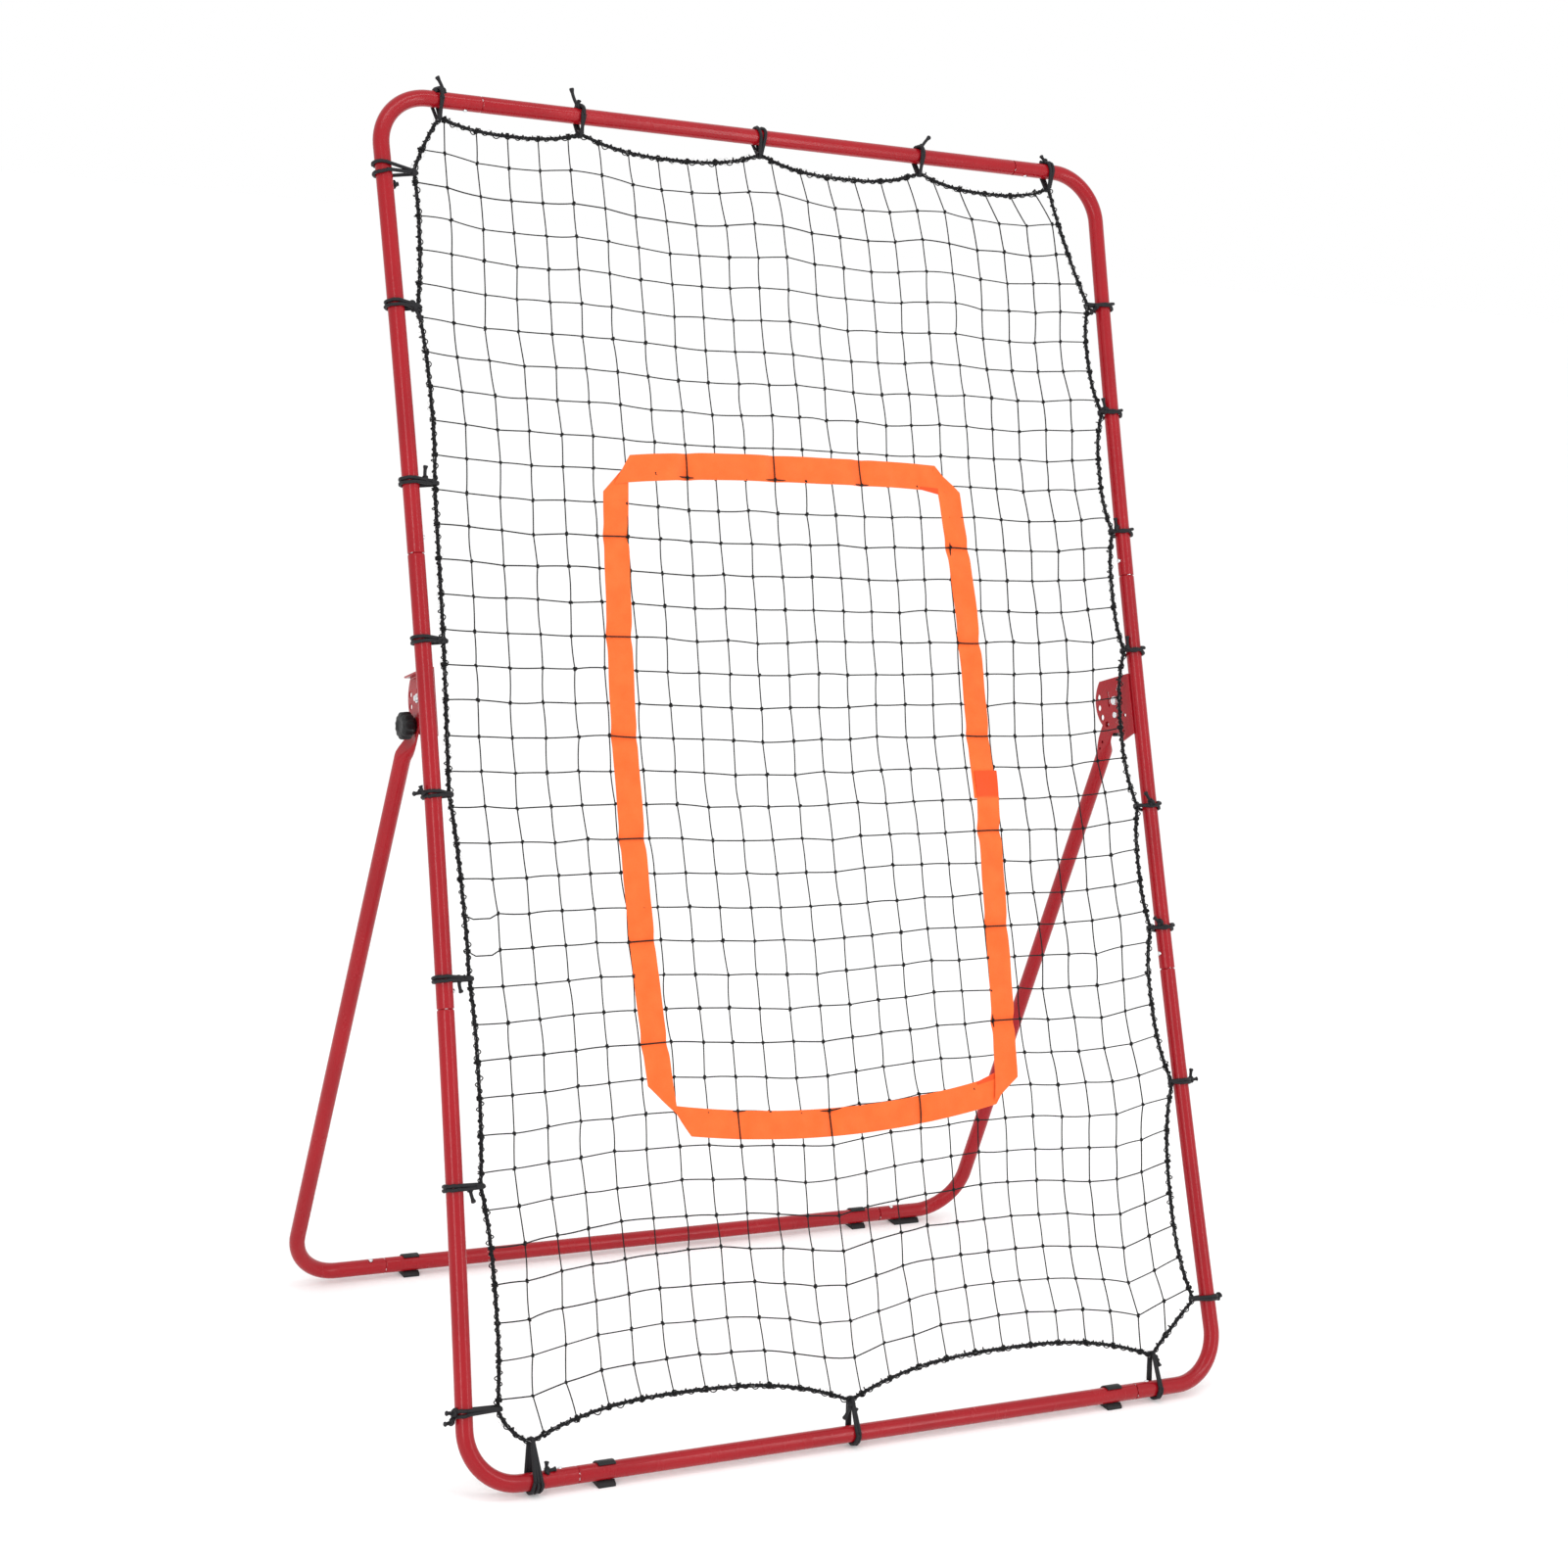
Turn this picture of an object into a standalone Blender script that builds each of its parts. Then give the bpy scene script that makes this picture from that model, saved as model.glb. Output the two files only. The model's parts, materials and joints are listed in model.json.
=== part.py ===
"""Pitching target net: a leaning tube frame on a folding rear leg, with a tied-in net and a strike zone."""

import math

import bmesh
import bpy
from mathutils import Vector

# All lengths are metres. X is across, Y points to the rear and Z is up. The object stands on Z = 0.

# Tubes
TUBE_RADIUS = 0.011
TUBE_WALL = 0.0012
TUBE_SIDES = 16
CORNER_RADIUS = 0.070
CORNER_STEPS = 6
SLEEVE_LENGTH = 0.045
SLEEVE_CLEARANCE = 0.0006
SHOULDER_LENGTH = 0.0018
SEAM_GAP = 0.0004
CLEARANCE = 0.0003

# Front frame, measured between tube centre lines
FRAME_WIDTH = 1.150
FRAME_HEIGHT = 1.772
FRAME_LEAN = math.radians(22.5)
SIDE_BOW = 0.013
LOWER_SEAM_HEIGHT = 0.580
UPPER_SEAM_HEIGHT = 1.158
BAR_SEAM_X = 0.430
BAR_HEIGHT = 0.017
FRONT_BAR_Y = -0.339

# Rear leg
PIVOT_HEIGHT = 0.978
PIVOT_SETBACK = 0.038
LEG_WIDTH = 1.121
LEG_LENGTH = 0.9245
LEG_BAR_SEAM_X = 0.418
LEG_END_THICKNESS = 0.003
LEG_END_HALF_WIDTH = 0.0135
LEG_FLAT_LENGTH = 0.056
LEG_ROUND_FROM = 0.090

# Brackets
PLATE_THICKNESS = 0.0025
PLATE_TOP = 1.012
PLATE_BOTTOM = 0.924
PLATE_FRONT = -0.007
PLATE_ARC_RADIUS = 0.0475
FLANGE_WIDTH = 0.0095
LOCK_RADIUS = 0.040
LOCK_STEP = math.radians(22.5)
LOCK_HOLES = 4
LOCK_HOLE_RADIUS = 0.0036
PIVOT_RADIUS = 0.0037

# Snap buttons
BUTTON_RADIUS = 0.003
BUTTON_HOLE_RADIUS = 0.0034
BUTTON_FROM_SEAM = 0.022

# Net, border rope, ties and strike zone
ROPE_RADIUS = 0.0025
ROPE_SIDES = 5
TIE_RADIUS = 0.002
TIE_SLACK = 0.0009
TIE_PASS = 0.005
NET_THICKNESS = 0.002
TOP_SAG = 0.024
SIDE_SAG = 0.007
BOTTOM_SAG = 0.044
ZONE_HALF_WIDTH = 0.303
ZONE_BOTTOM = 0.391
ZONE_TOP = 1.312
ZONE_STRIP = 0.037
ZONE_CHAMFER = 0.026
ZONE_THICKNESS = 0.0012

# Where the border rope is tied: height along the frame on the sides, X on the top and bottom
TOP_TIES = (-0.490, -0.283, -0.003, 0.264, 0.493)
RIGHT_TIES = (1.568, 1.404, 1.223, 1.045, 0.816, 0.639, 0.418, 0.113)
BOTTOM_TIES = (0.466, -0.028, -0.488)
LEFT_TIES = (0.092, 0.361, 0.617, 0.849, 1.046, 1.252, 1.486, 1.668)
ROPE_TOP = 1.747
ROPE_BOTTOM = 0.042
ROPE_SIDE_INSET = 0.029

# Feet
CLIP_THICKNESS = 0.0026
CLIP_WIDTH = 0.024
PAD_HALF_DEPTH = 0.012
FRONT_FOOT_X = 0.391
REAR_FOOT_X = 0.378
HEEL_FROM_X = 0.437
HEEL_LENGTH = 0.033

ACROSS = Vector((1, 0, 0))
UP_FRAME = Vector((0, math.sin(FRAME_LEAN), math.cos(FRAME_LEAN)))
BEHIND = Vector((0, math.cos(FRAME_LEAN), -math.sin(FRAME_LEAN)))
FRAME_FOOT = Vector((0, FRONT_BAR_Y, BAR_HEIGHT))
HALF_WIDTH = FRAME_WIDTH / 2


def on_frame(x, height, behind=0.0):
    """The world point at this X, this far up the leaning frame and this far behind its tubes."""
    return FRAME_FOOT + ACROSS * x + UP_FRAME * height + BEHIND * behind


PIVOT = on_frame(0, PIVOT_HEIGHT, PIVOT_SETBACK)
LEG_ANGLE = math.acos((PIVOT.z - BAR_HEIGHT) / LEG_LENGTH)
DOWN_LEG = Vector((0, math.sin(LEG_ANGLE), -math.cos(LEG_ANGLE)))
LEG_NORMAL = Vector((0, math.cos(LEG_ANGLE), math.sin(LEG_ANGLE)))
REAR_BAR = PIVOT + DOWN_LEG * LEG_LENGTH


def side_x(height):
    """X of the right side tube, which the net's pull bows inwards between its two corner bends."""
    part = (height - CORNER_RADIUS) / (FRAME_HEIGHT - 2 * CORNER_RADIUS)
    return HALF_WIDTH - SIDE_BOW * 4 * part * (1 - part)


# The bracket plates lie against the inner flanks of the side tubes, and the leg's flat ends outside them.
PLATE_OUTER_X = side_x(PIVOT_HEIGHT) - TUBE_RADIUS - CLEARANCE
LEG_END_X = PLATE_OUTER_X + CLEARANCE + LEG_END_THICKNESS / 2


# ---------------------------------------------------------------- materials

def surface(name, colour, roughness, metallic=0.0, coat=0.0):
    """A new Principled material in this colour."""
    made = bpy.data.materials.new(name)
    made.use_nodes = True
    shader = made.node_tree.nodes["Principled BSDF"]
    shader.inputs["Base Color"].default_value = (*colour, 1.0)
    shader.inputs["Roughness"].default_value = roughness
    shader.inputs["Metallic"].default_value = metallic
    shader.inputs["Coat Weight"].default_value = coat
    return made


def powder_coat(name):
    return surface(name + "_powder_coat", (0.52, 0.018, 0.035), 0.35, coat=0.3)


def zinc(name):
    return surface(name + "_zinc", (0.62, 0.62, 0.64), 0.30, metallic=1.0)


def black_plastic(name):
    return surface(name + "_plastic", (0.02, 0.02, 0.022), 0.5)


def black_cord(name):
    return surface(name + "_cord", (0.015, 0.015, 0.017), 0.85)


def orange_webbing(name):
    return surface(name + "_webbing", (1.0, 0.22, 0.03), 0.8)


# ---------------------------------------------------------------- mesh helpers

def add_object(name, points, faces, material, origin=Vector((0, 0, 0)), smooth=True):
    """One closed body from world points and faces, with its origin at the point given."""
    mesh = bpy.data.meshes.new(name)
    mesh.from_pydata([point - origin for point in points], [], faces)
    work = bmesh.new()
    work.from_mesh(mesh)
    bmesh.ops.recalc_face_normals(work, faces=work.faces)
    if work.calc_volume(signed=True) < 0:
        bmesh.ops.reverse_faces(work, faces=work.faces)
    work.to_mesh(mesh)
    work.free()
    made = bpy.data.objects.new(name, mesh)
    made.location = origin
    bpy.context.scene.collection.objects.link(made)
    if material is not None:
        mesh.materials.append(material(name))
    if smooth:
        mesh.shade_smooth()
        mesh.set_sharp_from_angle(angle=math.radians(40))
    return made


def ring(centre, side, normal, half_side, half_normal, sharpness=1.0):
    """Points round one cross-section. A sharpness over 1 flattens the circle on both sides."""
    points = []
    for step in range(TUBE_SIDES):
        angle = 2 * math.pi * step / TUBE_SIDES
        across = max(-1.0, min(1.0, sharpness * math.cos(angle)))
        points.append(centre + side * (half_side * across) + normal * (half_normal * math.sin(angle)))
    return points


def loft(rings, closed):
    """Points and faces of a skin through the rings. Closed joins the last ring to the first."""
    count = len(rings[0])
    points = [point for one in rings for point in one]
    faces = []
    for index in range(len(rings) if closed else len(rings) - 1):
        start = index * count
        after = (index + 1) % len(rings) * count
        for step in range(count):
            beside = (step + 1) % count
            faces.append((start + step, start + beside, after + beside, after + step))
    if not closed:
        faces.append(tuple(range(count)))
        faces.append(tuple(range(len(points) - count, len(points))))
    return points, faces


def directions(path):
    """The unit tangent at each point of an open path."""
    found = []
    for index in range(len(path)):
        before = path[max(index - 1, 0)]
        after = path[min(index + 1, len(path) - 1)]
        found.append((after - before).normalized())
    return found


def hollow_tube(name, path, plane_normal, sleeve_ends, origin=Vector((0, 0, 0))):
    """An open tube along a flat path. Each end in sleeve_ends ("start", "end") is drawn down to slip inside
    the next tube."""
    stations = [(point, TUBE_RADIUS) for point in path]
    if "end" in sleeve_ends:
        stations = stations[:-1] + sleeve_stations(path[-2], path[-1])
    if "start" in sleeve_ends:
        stations = sleeve_stations(path[1], path[0])[::-1] + stations[1:]
    tangents = directions([point for point, _ in stations])
    outer = []
    inner = []
    for (point, radius), tangent in zip(stations, tangents):
        side = plane_normal.cross(tangent)
        outer.append(ring(point, side, plane_normal, radius, radius))
        bore = radius - TUBE_WALL
        inner.append(ring(point, side, plane_normal, bore, bore))
    points, faces = loft(outer + inner[::-1], closed=True)
    return add_object(name, points, faces, powder_coat, origin)


def sleeve_stations(before, seam):
    """Path points and radii from a seam's shoulder to the end of the drawn-down sleeve."""
    along = (seam - before).normalized()
    sleeve_radius = TUBE_RADIUS - TUBE_WALL - SLEEVE_CLEARANCE
    return [
        (seam - along * (SEAM_GAP / 2 + SHOULDER_LENGTH), TUBE_RADIUS),
        (seam - along * (SEAM_GAP / 2), sleeve_radius),
        (seam + along * SLEEVE_LENGTH, sleeve_radius),
    ]


def extrude(outline, along, length):
    """Points and faces of a flat outline carried along a direction."""
    count = len(outline)
    points = outline + [point + along * length for point in outline]
    faces = [tuple(range(count)), tuple(range(count, 2 * count))]
    for step in range(count):
        beside = (step + 1) % count
        faces.append((step, beside, count + beside, count + step))
    return points, faces


def turned(profile, base, axis, sides):
    """Points and faces of a solid of revolution. The profile is (distance along the axis, radius)."""
    first = axis.orthogonal().normalized()
    second = axis.cross(first)
    rings = []
    for along, radius in profile:
        centre = base + axis * along
        rings.append([
            centre
            + first * (radius * math.cos(2 * math.pi * step / sides))
            + second * (radius * math.sin(2 * math.pi * step / sides))
            for step in range(sides)
        ])
    return loft(rings, closed=False)


def hide_cutter(cutter):
    cutter.hide_render = True
    cutter.display_type = "WIRE"


def cut_hole(targets, name, base, axis, length, radius):
    """Drills one round hole through the targets."""
    points, faces = turned([(0, radius), (length, radius)], base, axis, 12)
    cutter = add_object(name, points, faces, None, smooth=False)
    hide_cutter(cutter)
    for target in targets:
        subtract(target, cutter)


def subtract(target, cutter):
    modifier = target.modifiers.new(cutter.name, "BOOLEAN")
    modifier.operation = "DIFFERENCE"
    modifier.solver = "EXACT"
    modifier.object = cutter


# ---------------------------------------------------------------- tubes

def side_path(sign, low, high):
    """Points up one side tube, close enough together to follow its bow."""
    steps = max(2, round((high - low) / 0.2))
    heights = [low + (high - low) * step / steps for step in range(steps + 1)]
    return [on_frame(sign * side_x(height), height) for height in heights]


def bend(corner, leave, arrive):
    """Points round a bend of CORNER_RADIUS, where leave and arrive point away from the sharp corner."""
    centre = corner + (leave + arrive) * CORNER_RADIUS
    points = []
    for step in range(CORNER_STEPS + 1):
        turn = math.pi / 2 * step / CORNER_STEPS
        points.append(centre - arrive * (CORNER_RADIUS * math.cos(turn)) - leave * (CORNER_RADIUS * math.sin(turn)))
    return points


def frame_corner(name, sign, lower):
    """An L-shaped corner tube, from the seam on the bar to the seam on the side."""
    corner_height = 0.0 if lower else FRAME_HEIGHT
    towards_middle = UP_FRAME if lower else -UP_FRAME
    bar_end = on_frame(sign * (BAR_SEAM_X + SEAM_GAP / 2), corner_height)
    curve = bend(on_frame(sign * HALF_WIDTH, corner_height), ACROSS * -sign, towards_middle)
    if lower:
        rise = side_path(sign, CORNER_RADIUS, LOWER_SEAM_HEIGHT)
        return hollow_tube(name, [bar_end] + curve + rise[1:], BEHIND, ("end",))
    rise = side_path(sign, UPPER_SEAM_HEIGHT + SEAM_GAP / 2, FRAME_HEIGHT - CORNER_RADIUS)
    return hollow_tube(name, [bar_end] + curve + rise[-2::-1], BEHIND, ())


def frame_side(name, sign):
    path = side_path(sign, LOWER_SEAM_HEIGHT + SEAM_GAP / 2, UPPER_SEAM_HEIGHT)
    return hollow_tube(name, path, BEHIND, ("end",))


def frame_bar(name, height):
    path = [on_frame(x, height) for x in (-BAR_SEAM_X, 0, BAR_SEAM_X)]
    return hollow_tube(name, path, BEHIND, ("start", "end"))


def leg_bar():
    path = [REAR_BAR + ACROSS * x for x in (-LEG_BAR_SEAM_X, 0, LEG_BAR_SEAM_X)]
    return hollow_tube("leg_rear_bar", path, LEG_NORMAL, ("start", "end"), PIVOT)


def leg_side(name, sign):
    """A leg tube: open at its seam on the rear bar, bent upwards, and pressed flat round the pivot."""
    bar_end = REAR_BAR + ACROSS * (sign * (LEG_BAR_SEAM_X + SEAM_GAP / 2))
    curve = bend(REAR_BAR + ACROSS * (sign * LEG_WIDTH / 2), ACROSS * -sign, -DOWN_LEG)
    round_top = PIVOT + DOWN_LEG * LEG_ROUND_FROM + ACROSS * (sign * LEG_WIDTH / 2)
    path = [bar_end] + curve + [round_top]
    outer = []
    inner = []
    for point, tangent in zip(path, directions(path)):
        side = LEG_NORMAL.cross(tangent)
        outer.append(ring(point, side, LEG_NORMAL, TUBE_RADIUS, TUBE_RADIUS))
        bore = TUBE_RADIUS - TUBE_WALL
        inner.append(ring(point, side, LEG_NORMAL, bore, bore))
    side = LEG_NORMAL.cross(-DOWN_LEG)
    flat_end = [(LEG_FLAT_LENGTH, 1.0), (-0.004, 0.95), (-0.009, 0.72), (-0.0125, 0.35)]
    for along, width in flat_end:
        centre = PIVOT + DOWN_LEG * along + ACROSS * (sign * LEG_END_X)
        outer.append(ring(centre, side, LEG_NORMAL, LEG_END_THICKNESS / 2, LEG_END_HALF_WIDTH * width, 2.6))
    points, faces = loft(outer[::-1] + inner, closed=False)
    return add_object(name, points, faces, powder_coat, PIVOT)


def snap_button(name, seam, towards_female, outwards, tubes, origin=None):
    """A sprung button in a sleeve. Its pin stands out through the holes of both tubes."""
    base = seam + towards_female * BUTTON_FROM_SEAM
    cut_hole(tubes, name + "_hole", base + outwards * 0.006, outwards, 0.008, BUTTON_HOLE_RADIUS)
    profile = [
        (0.0056, 0.0040),
        (0.0065, 0.0040),
        (0.0066, BUTTON_RADIUS),
        (0.0122, BUTTON_RADIUS),
        (0.0132, BUTTON_RADIUS * 0.75),
        (0.0136, BUTTON_RADIUS * 0.35),
    ]
    points, faces = turned(profile, base, outwards, 10)
    return add_object(name, points, faces, zinc, origin or base + outwards * TUBE_RADIUS)


# ---------------------------------------------------------------- brackets, pivots and knobs

def bracket(name, sign):
    """A plate beside the side tube, with a turned-out top flange, the pivot hole and the row of lock holes."""
    arc = []
    for step in range(11):
        angle = math.radians(136 - 13.6 * step)
        arc.append((PIVOT_SETBACK + PLATE_ARC_RADIUS * math.sin(angle),
                    PIVOT_HEIGHT - PLATE_ARC_RADIUS * math.cos(angle)))
    outline = [(PLATE_FRONT, PLATE_BOTTOM), (PLATE_FRONT, PLATE_TOP), (arc[0][0], PLATE_TOP)] + arc
    inner_x = sign * (PLATE_OUTER_X - PLATE_THICKNESS)
    flat = [on_frame(inner_x, height, behind) for behind, height in outline]
    points, faces = extrude(flat, ACROSS * sign, PLATE_THICKNESS)
    plate = add_object(name, points, faces, powder_coat, smooth=False)
    add_flange(plate, sign, arc[0][0])
    drill_bracket(plate, sign)
    return plate


def add_flange(plate, sign, rear):
    """Joins the turned-out lip onto the plate's top edge."""
    thickness = PLATE_THICKNESS
    front = TUBE_RADIUS + 0.002
    corners = [(front, PLATE_TOP - thickness), (rear, PLATE_TOP - thickness), (rear, PLATE_TOP), (front, PLATE_TOP)]
    start_x = sign * (PLATE_OUTER_X - thickness / 2)
    flat = [on_frame(start_x, height, behind) for behind, height in corners]
    points, faces = extrude(flat, ACROSS * sign, FLANGE_WIDTH + thickness / 2)
    flange = add_object(plate.name + "_flange", points, faces, None, smooth=False)
    hide_cutter(flange)
    modifier = plate.modifiers.new(flange.name, "BOOLEAN")
    modifier.operation = "UNION"
    modifier.solver = "EXACT"
    modifier.object = flange


def drill_bracket(plate, sign):
    """The pivot hole, the lock holes, two fixing holes and the narrow stamped slot."""
    rest_angle = FRAME_LEAN + LEG_ANGLE
    holes = [(PIVOT_SETBACK, PIVOT_HEIGHT, PIVOT_RADIUS + CLEARANCE), (0.0185, 0.953, 0.0025), (0.024, 0.931, 0.0025)]
    for number in range(LOCK_HOLES):
        angle = rest_angle + number * LOCK_STEP
        holes.append((PIVOT_SETBACK + LOCK_RADIUS * math.sin(angle),
                      PIVOT_HEIGHT - LOCK_RADIUS * math.cos(angle), LOCK_HOLE_RADIUS))
    start_x = sign * (PLATE_OUTER_X - PLATE_THICKNESS - 0.002)
    for number, (behind, height, radius) in enumerate(holes):
        cut_hole([plate], f"{plate.name}_hole_{number}", on_frame(start_x, height, behind),
                 ACROSS * sign, PLATE_THICKNESS + 0.004, radius)
    slot = [(0.0485, 0.975), (0.0515, 0.975), (0.0515, 0.996), (0.0485, 0.996)]
    flat = [on_frame(start_x, height, behind) for behind, height in slot]
    points, faces = extrude(flat, ACROSS * sign, PLATE_THICKNESS + 0.004)
    cutter = add_object(plate.name + "_slot", points, faces, None, smooth=False)
    hide_cutter(cutter)
    subtract(plate, cutter)


def pivot_bolt(name, sign):
    """A bolt and its nut as one solid, through the plate and the leg's flat end."""
    start = PLATE_OUTER_X - PLATE_THICKNESS - CLEARANCE - 0.004
    inner_face = 0.004
    outer_face = inner_face + PLATE_THICKNESS + LEG_END_THICKNESS + 3 * CLEARANCE
    profile = [
        (0.0, 0.0055),
        (0.0008, 0.0065),
        (inner_face, 0.0065),
        (inner_face + 0.0001, PIVOT_RADIUS),
        (outer_face - 0.0001, PIVOT_RADIUS),
        (outer_face, 0.0068),
        (outer_face + 0.0048, 0.0068),
        (outer_face + 0.0050, PIVOT_RADIUS),
        (outer_face + 0.0080, PIVOT_RADIUS - 0.0005),
    ]
    points, faces = turned(profile, PIVOT + ACROSS * (sign * start), ACROSS * sign, 12)
    return add_object(name, points, faces, zinc, PIVOT + ACROSS * (sign * LEG_END_X))


def lock_knob(name, sign):
    """A fluted clamping knob on a short stud in the leg's lock hole."""
    base = PIVOT + DOWN_LEG * LOCK_RADIUS + ACROSS * (sign * (LEG_END_X - LEG_END_THICKNESS / 2 + 0.0002))
    leg_face = LEG_END_THICKNESS - 0.0002 + CLEARANCE
    sections = [
        (0.0, 0.003, 0.0),
        (leg_face - 0.0001, 0.003, 0.0),
        (leg_face, 0.0105, 0.0),
        (leg_face + 0.0040, 0.0115, 0.0),
        (leg_face + 0.0060, 0.0158, 0.0008),
        (leg_face + 0.0080, 0.0172, 0.0012),
        (leg_face + 0.0200, 0.0168, 0.0012),
        (leg_face + 0.0225, 0.0145, 0.0008),
        (leg_face + 0.0232, 0.0080, 0.0),
        (leg_face + 0.0220, 0.0055, 0.0),
    ]
    sides = 18
    rings = []
    for along, radius, flute in sections:
        centre = base + ACROSS * (sign * along)
        rings.append([])
        for step in range(sides):
            angle = 2 * math.pi * step / sides
            reach = radius + flute * math.cos(6 * angle)
            rings[-1].append(centre + Vector((0, reach * math.cos(angle), reach * math.sin(angle))))
    points, faces = loft(rings, closed=False)
    return add_object(name, points, faces, black_plastic, base)


# ---------------------------------------------------------------- feet

def foot_profile(first_angle, last_angle, half_depth):
    """The (Y, Z) outline of a foot round a bar: an arc that hugs the bar from behind and a flat pad below it.
    Angles are measured from the rear."""
    steps = 9
    span = math.radians(first_angle - last_angle)
    inner_radius = (TUBE_RADIUS + CLEARANCE) / math.cos(span / steps / 2)
    outer_radius = TUBE_RADIUS + CLIP_THICKNESS
    outline = []
    for step in range(steps + 1):
        angle = math.radians(last_angle) + span * step / steps
        outline.append((inner_radius * math.cos(angle), inner_radius * math.sin(angle)))
    outer_last = math.degrees(-math.acos(min(1.0, half_depth / outer_radius)))
    if first_angle > outer_last:
        for step in range(7):
            angle = math.radians(first_angle + (outer_last - first_angle) * step / 6)
            outline.append((outer_radius * math.cos(angle), outer_radius * math.sin(angle)))
    outline.append((half_depth, -BAR_HEIGHT))
    outline.append((-half_depth, -BAR_HEIGHT))
    outline.append((-half_depth, -BAR_HEIGHT + 0.0035))
    return outline


def foot(name, bar, x, width, first_angle, origin=Vector((0, 0, 0))):
    """A plastic foot on a bar, with its flat pad on the ground."""
    outline = foot_profile(first_angle, -125, PAD_HALF_DEPTH)
    flat = [bar + Vector((x - width / 2, y, z)) for y, z in outline]
    points, faces = extrude(flat, ACROSS, width)
    return add_object(name, points, faces, black_plastic, origin, smooth=False)


# ---------------------------------------------------------------- net, rope, ties and strike zone

def tie_places():
    """Each tie as (name, tube centre, rope centre, way the rope runs), clockwise from the top left corner."""
    places = []
    for number, x in enumerate(TOP_TIES, 1):
        places.append((f"tie_top_{number}", on_frame(x, FRAME_HEIGHT), on_frame(x, ROPE_TOP), ACROSS))
    for number, height in enumerate(RIGHT_TIES, 1):
        x = side_x(height)
        places.append((f"tie_right_{number}", on_frame(x, height), on_frame(x - ROPE_SIDE_INSET, height), -UP_FRAME))
    for number, x in enumerate(BOTTOM_TIES, 1):
        places.append((f"tie_bottom_{number}", on_frame(x, 0), on_frame(x, ROPE_BOTTOM), -ACROSS))
    for number, height in enumerate(LEFT_TIES, 1):
        x = -side_x(height)
        places.append((f"tie_left_{number}", on_frame(x, height), on_frame(x + ROPE_SIDE_INSET, height), UP_FRAME))
    return places


def sag_between(first, second):
    """How far the rope is drawn in towards the net between two neighbouring ties, and its curve's steps."""
    if "top" in first and "top" in second:
        return TOP_SAG, 4
    if "bottom" in first and "bottom" in second:
        return BOTTOM_SAG, 6
    return SIDE_SAG, 2


def border_path():
    """Points round the border rope, each with True where it passes straight through a tie."""
    places = tie_places()
    path = []
    for index, (name, _, start, way) in enumerate(places):
        next_name, _, end, _ = places[(index + 1) % len(places)]
        inwards = BEHIND.cross(end - start).normalized()
        sag, steps = sag_between(name, next_name)
        path.append((start - way * TIE_PASS, True))
        path.append((start + way * TIE_PASS, True))
        for step in range(1, steps):
            part = step / steps
            path.append((start.lerp(end, part) + inwards * (sag * 4 * part * (1 - part)), False))
    return path


def inward_normals(path):
    """The mitred offset of one unit towards the net at each point of a closed path in the frame's plane."""
    found = []
    for index in range(len(path)):
        before = BEHIND.cross(path[index] - path[index - 1]).normalized()
        after = BEHIND.cross(path[(index + 1) % len(path)] - path[index]).normalized()
        found.append((before + after) / (1 + before.dot(after)))
    return found


def border_rope():
    path = [point for point, _ in border_path()]
    rings = []
    for point, inwards in zip(path, inward_normals(path)):
        rings.append([
            point
            + inwards * (ROPE_RADIUS * math.cos(2 * math.pi * step / ROPE_SIDES))
            + BEHIND * (ROPE_RADIUS * math.sin(2 * math.pi * step / ROPE_SIDES))
            for step in range(ROPE_SIDES)
        ])
    points, faces = loft(rings, closed=True)
    return add_object("border_rope", points, faces, black_cord)


def net_panel():
    """The net as one thin sheet inside the rope, drawn back a little where a tie goes round the rope."""
    path = border_path()
    beside_rope = ROPE_RADIUS + 3 * CLEARANCE
    beside_tie = ROPE_RADIUS + 2 * TIE_RADIUS + TIE_SLACK + 2 * CLEARANCE
    outline = []
    for (point, tied), inwards in zip(path, inward_normals([point for point, _ in path])):
        away = beside_tie if tied else beside_rope
        outline.append(point + inwards * away - BEHIND * (NET_THICKNESS / 2))
    points, faces = extrude(outline, BEHIND, NET_THICKNESS)
    return add_object("net_panel", points, faces, black_cord, smooth=False)


def tie(name, tube_centre, rope_centre):
    """One cord loop, like a belt round the tube and the border rope."""
    towards = (rope_centre - tube_centre).normalized()
    distance = (rope_centre - tube_centre).length
    big = (TUBE_RADIUS + TIE_RADIUS + 2 * CLEARANCE) / math.cos(math.radians(14))
    small = ROPE_RADIUS + TIE_RADIUS + TIE_SLACK
    lean = math.asin((big - small) / distance)
    half_turn = math.pi / 2 - lean
    path = []
    for step in range(9):
        angle = half_turn + (2 * math.pi - 2 * half_turn) * step / 8
        path.append(tube_centre + towards * (big * math.cos(angle)) + BEHIND * (big * math.sin(angle)))
    for step in range(4):
        angle = -half_turn + 2 * half_turn * step / 3
        path.append(rope_centre + towards * (small * math.cos(angle)) + BEHIND * (small * math.sin(angle)))
    across = towards.cross(BEHIND)
    rings = []
    for index, point in enumerate(path):
        along = (path[(index + 1) % len(path)] - path[index - 1]).normalized()
        outwards = along.cross(across)
        rings.append([
            point
            + outwards * (TIE_RADIUS * math.cos(2 * math.pi * step / 5))
            + across * (TIE_RADIUS * math.sin(2 * math.pi * step / 5))
            for step in range(5)
        ])
    points, faces = loft(rings, closed=True)
    return add_object(name, points, faces, black_cord)


def chamfered(half_width, low, high, chamfer):
    """The corners of an upright rectangle with cut corners, as (X, height)."""
    return [
        (-half_width, low + chamfer),
        (-half_width + chamfer, low),
        (half_width - chamfer, low),
        (half_width, low + chamfer),
        (half_width, high - chamfer),
        (half_width - chamfer, high),
        (-half_width + chamfer, high),
        (-half_width, high - chamfer),
    ]


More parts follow.
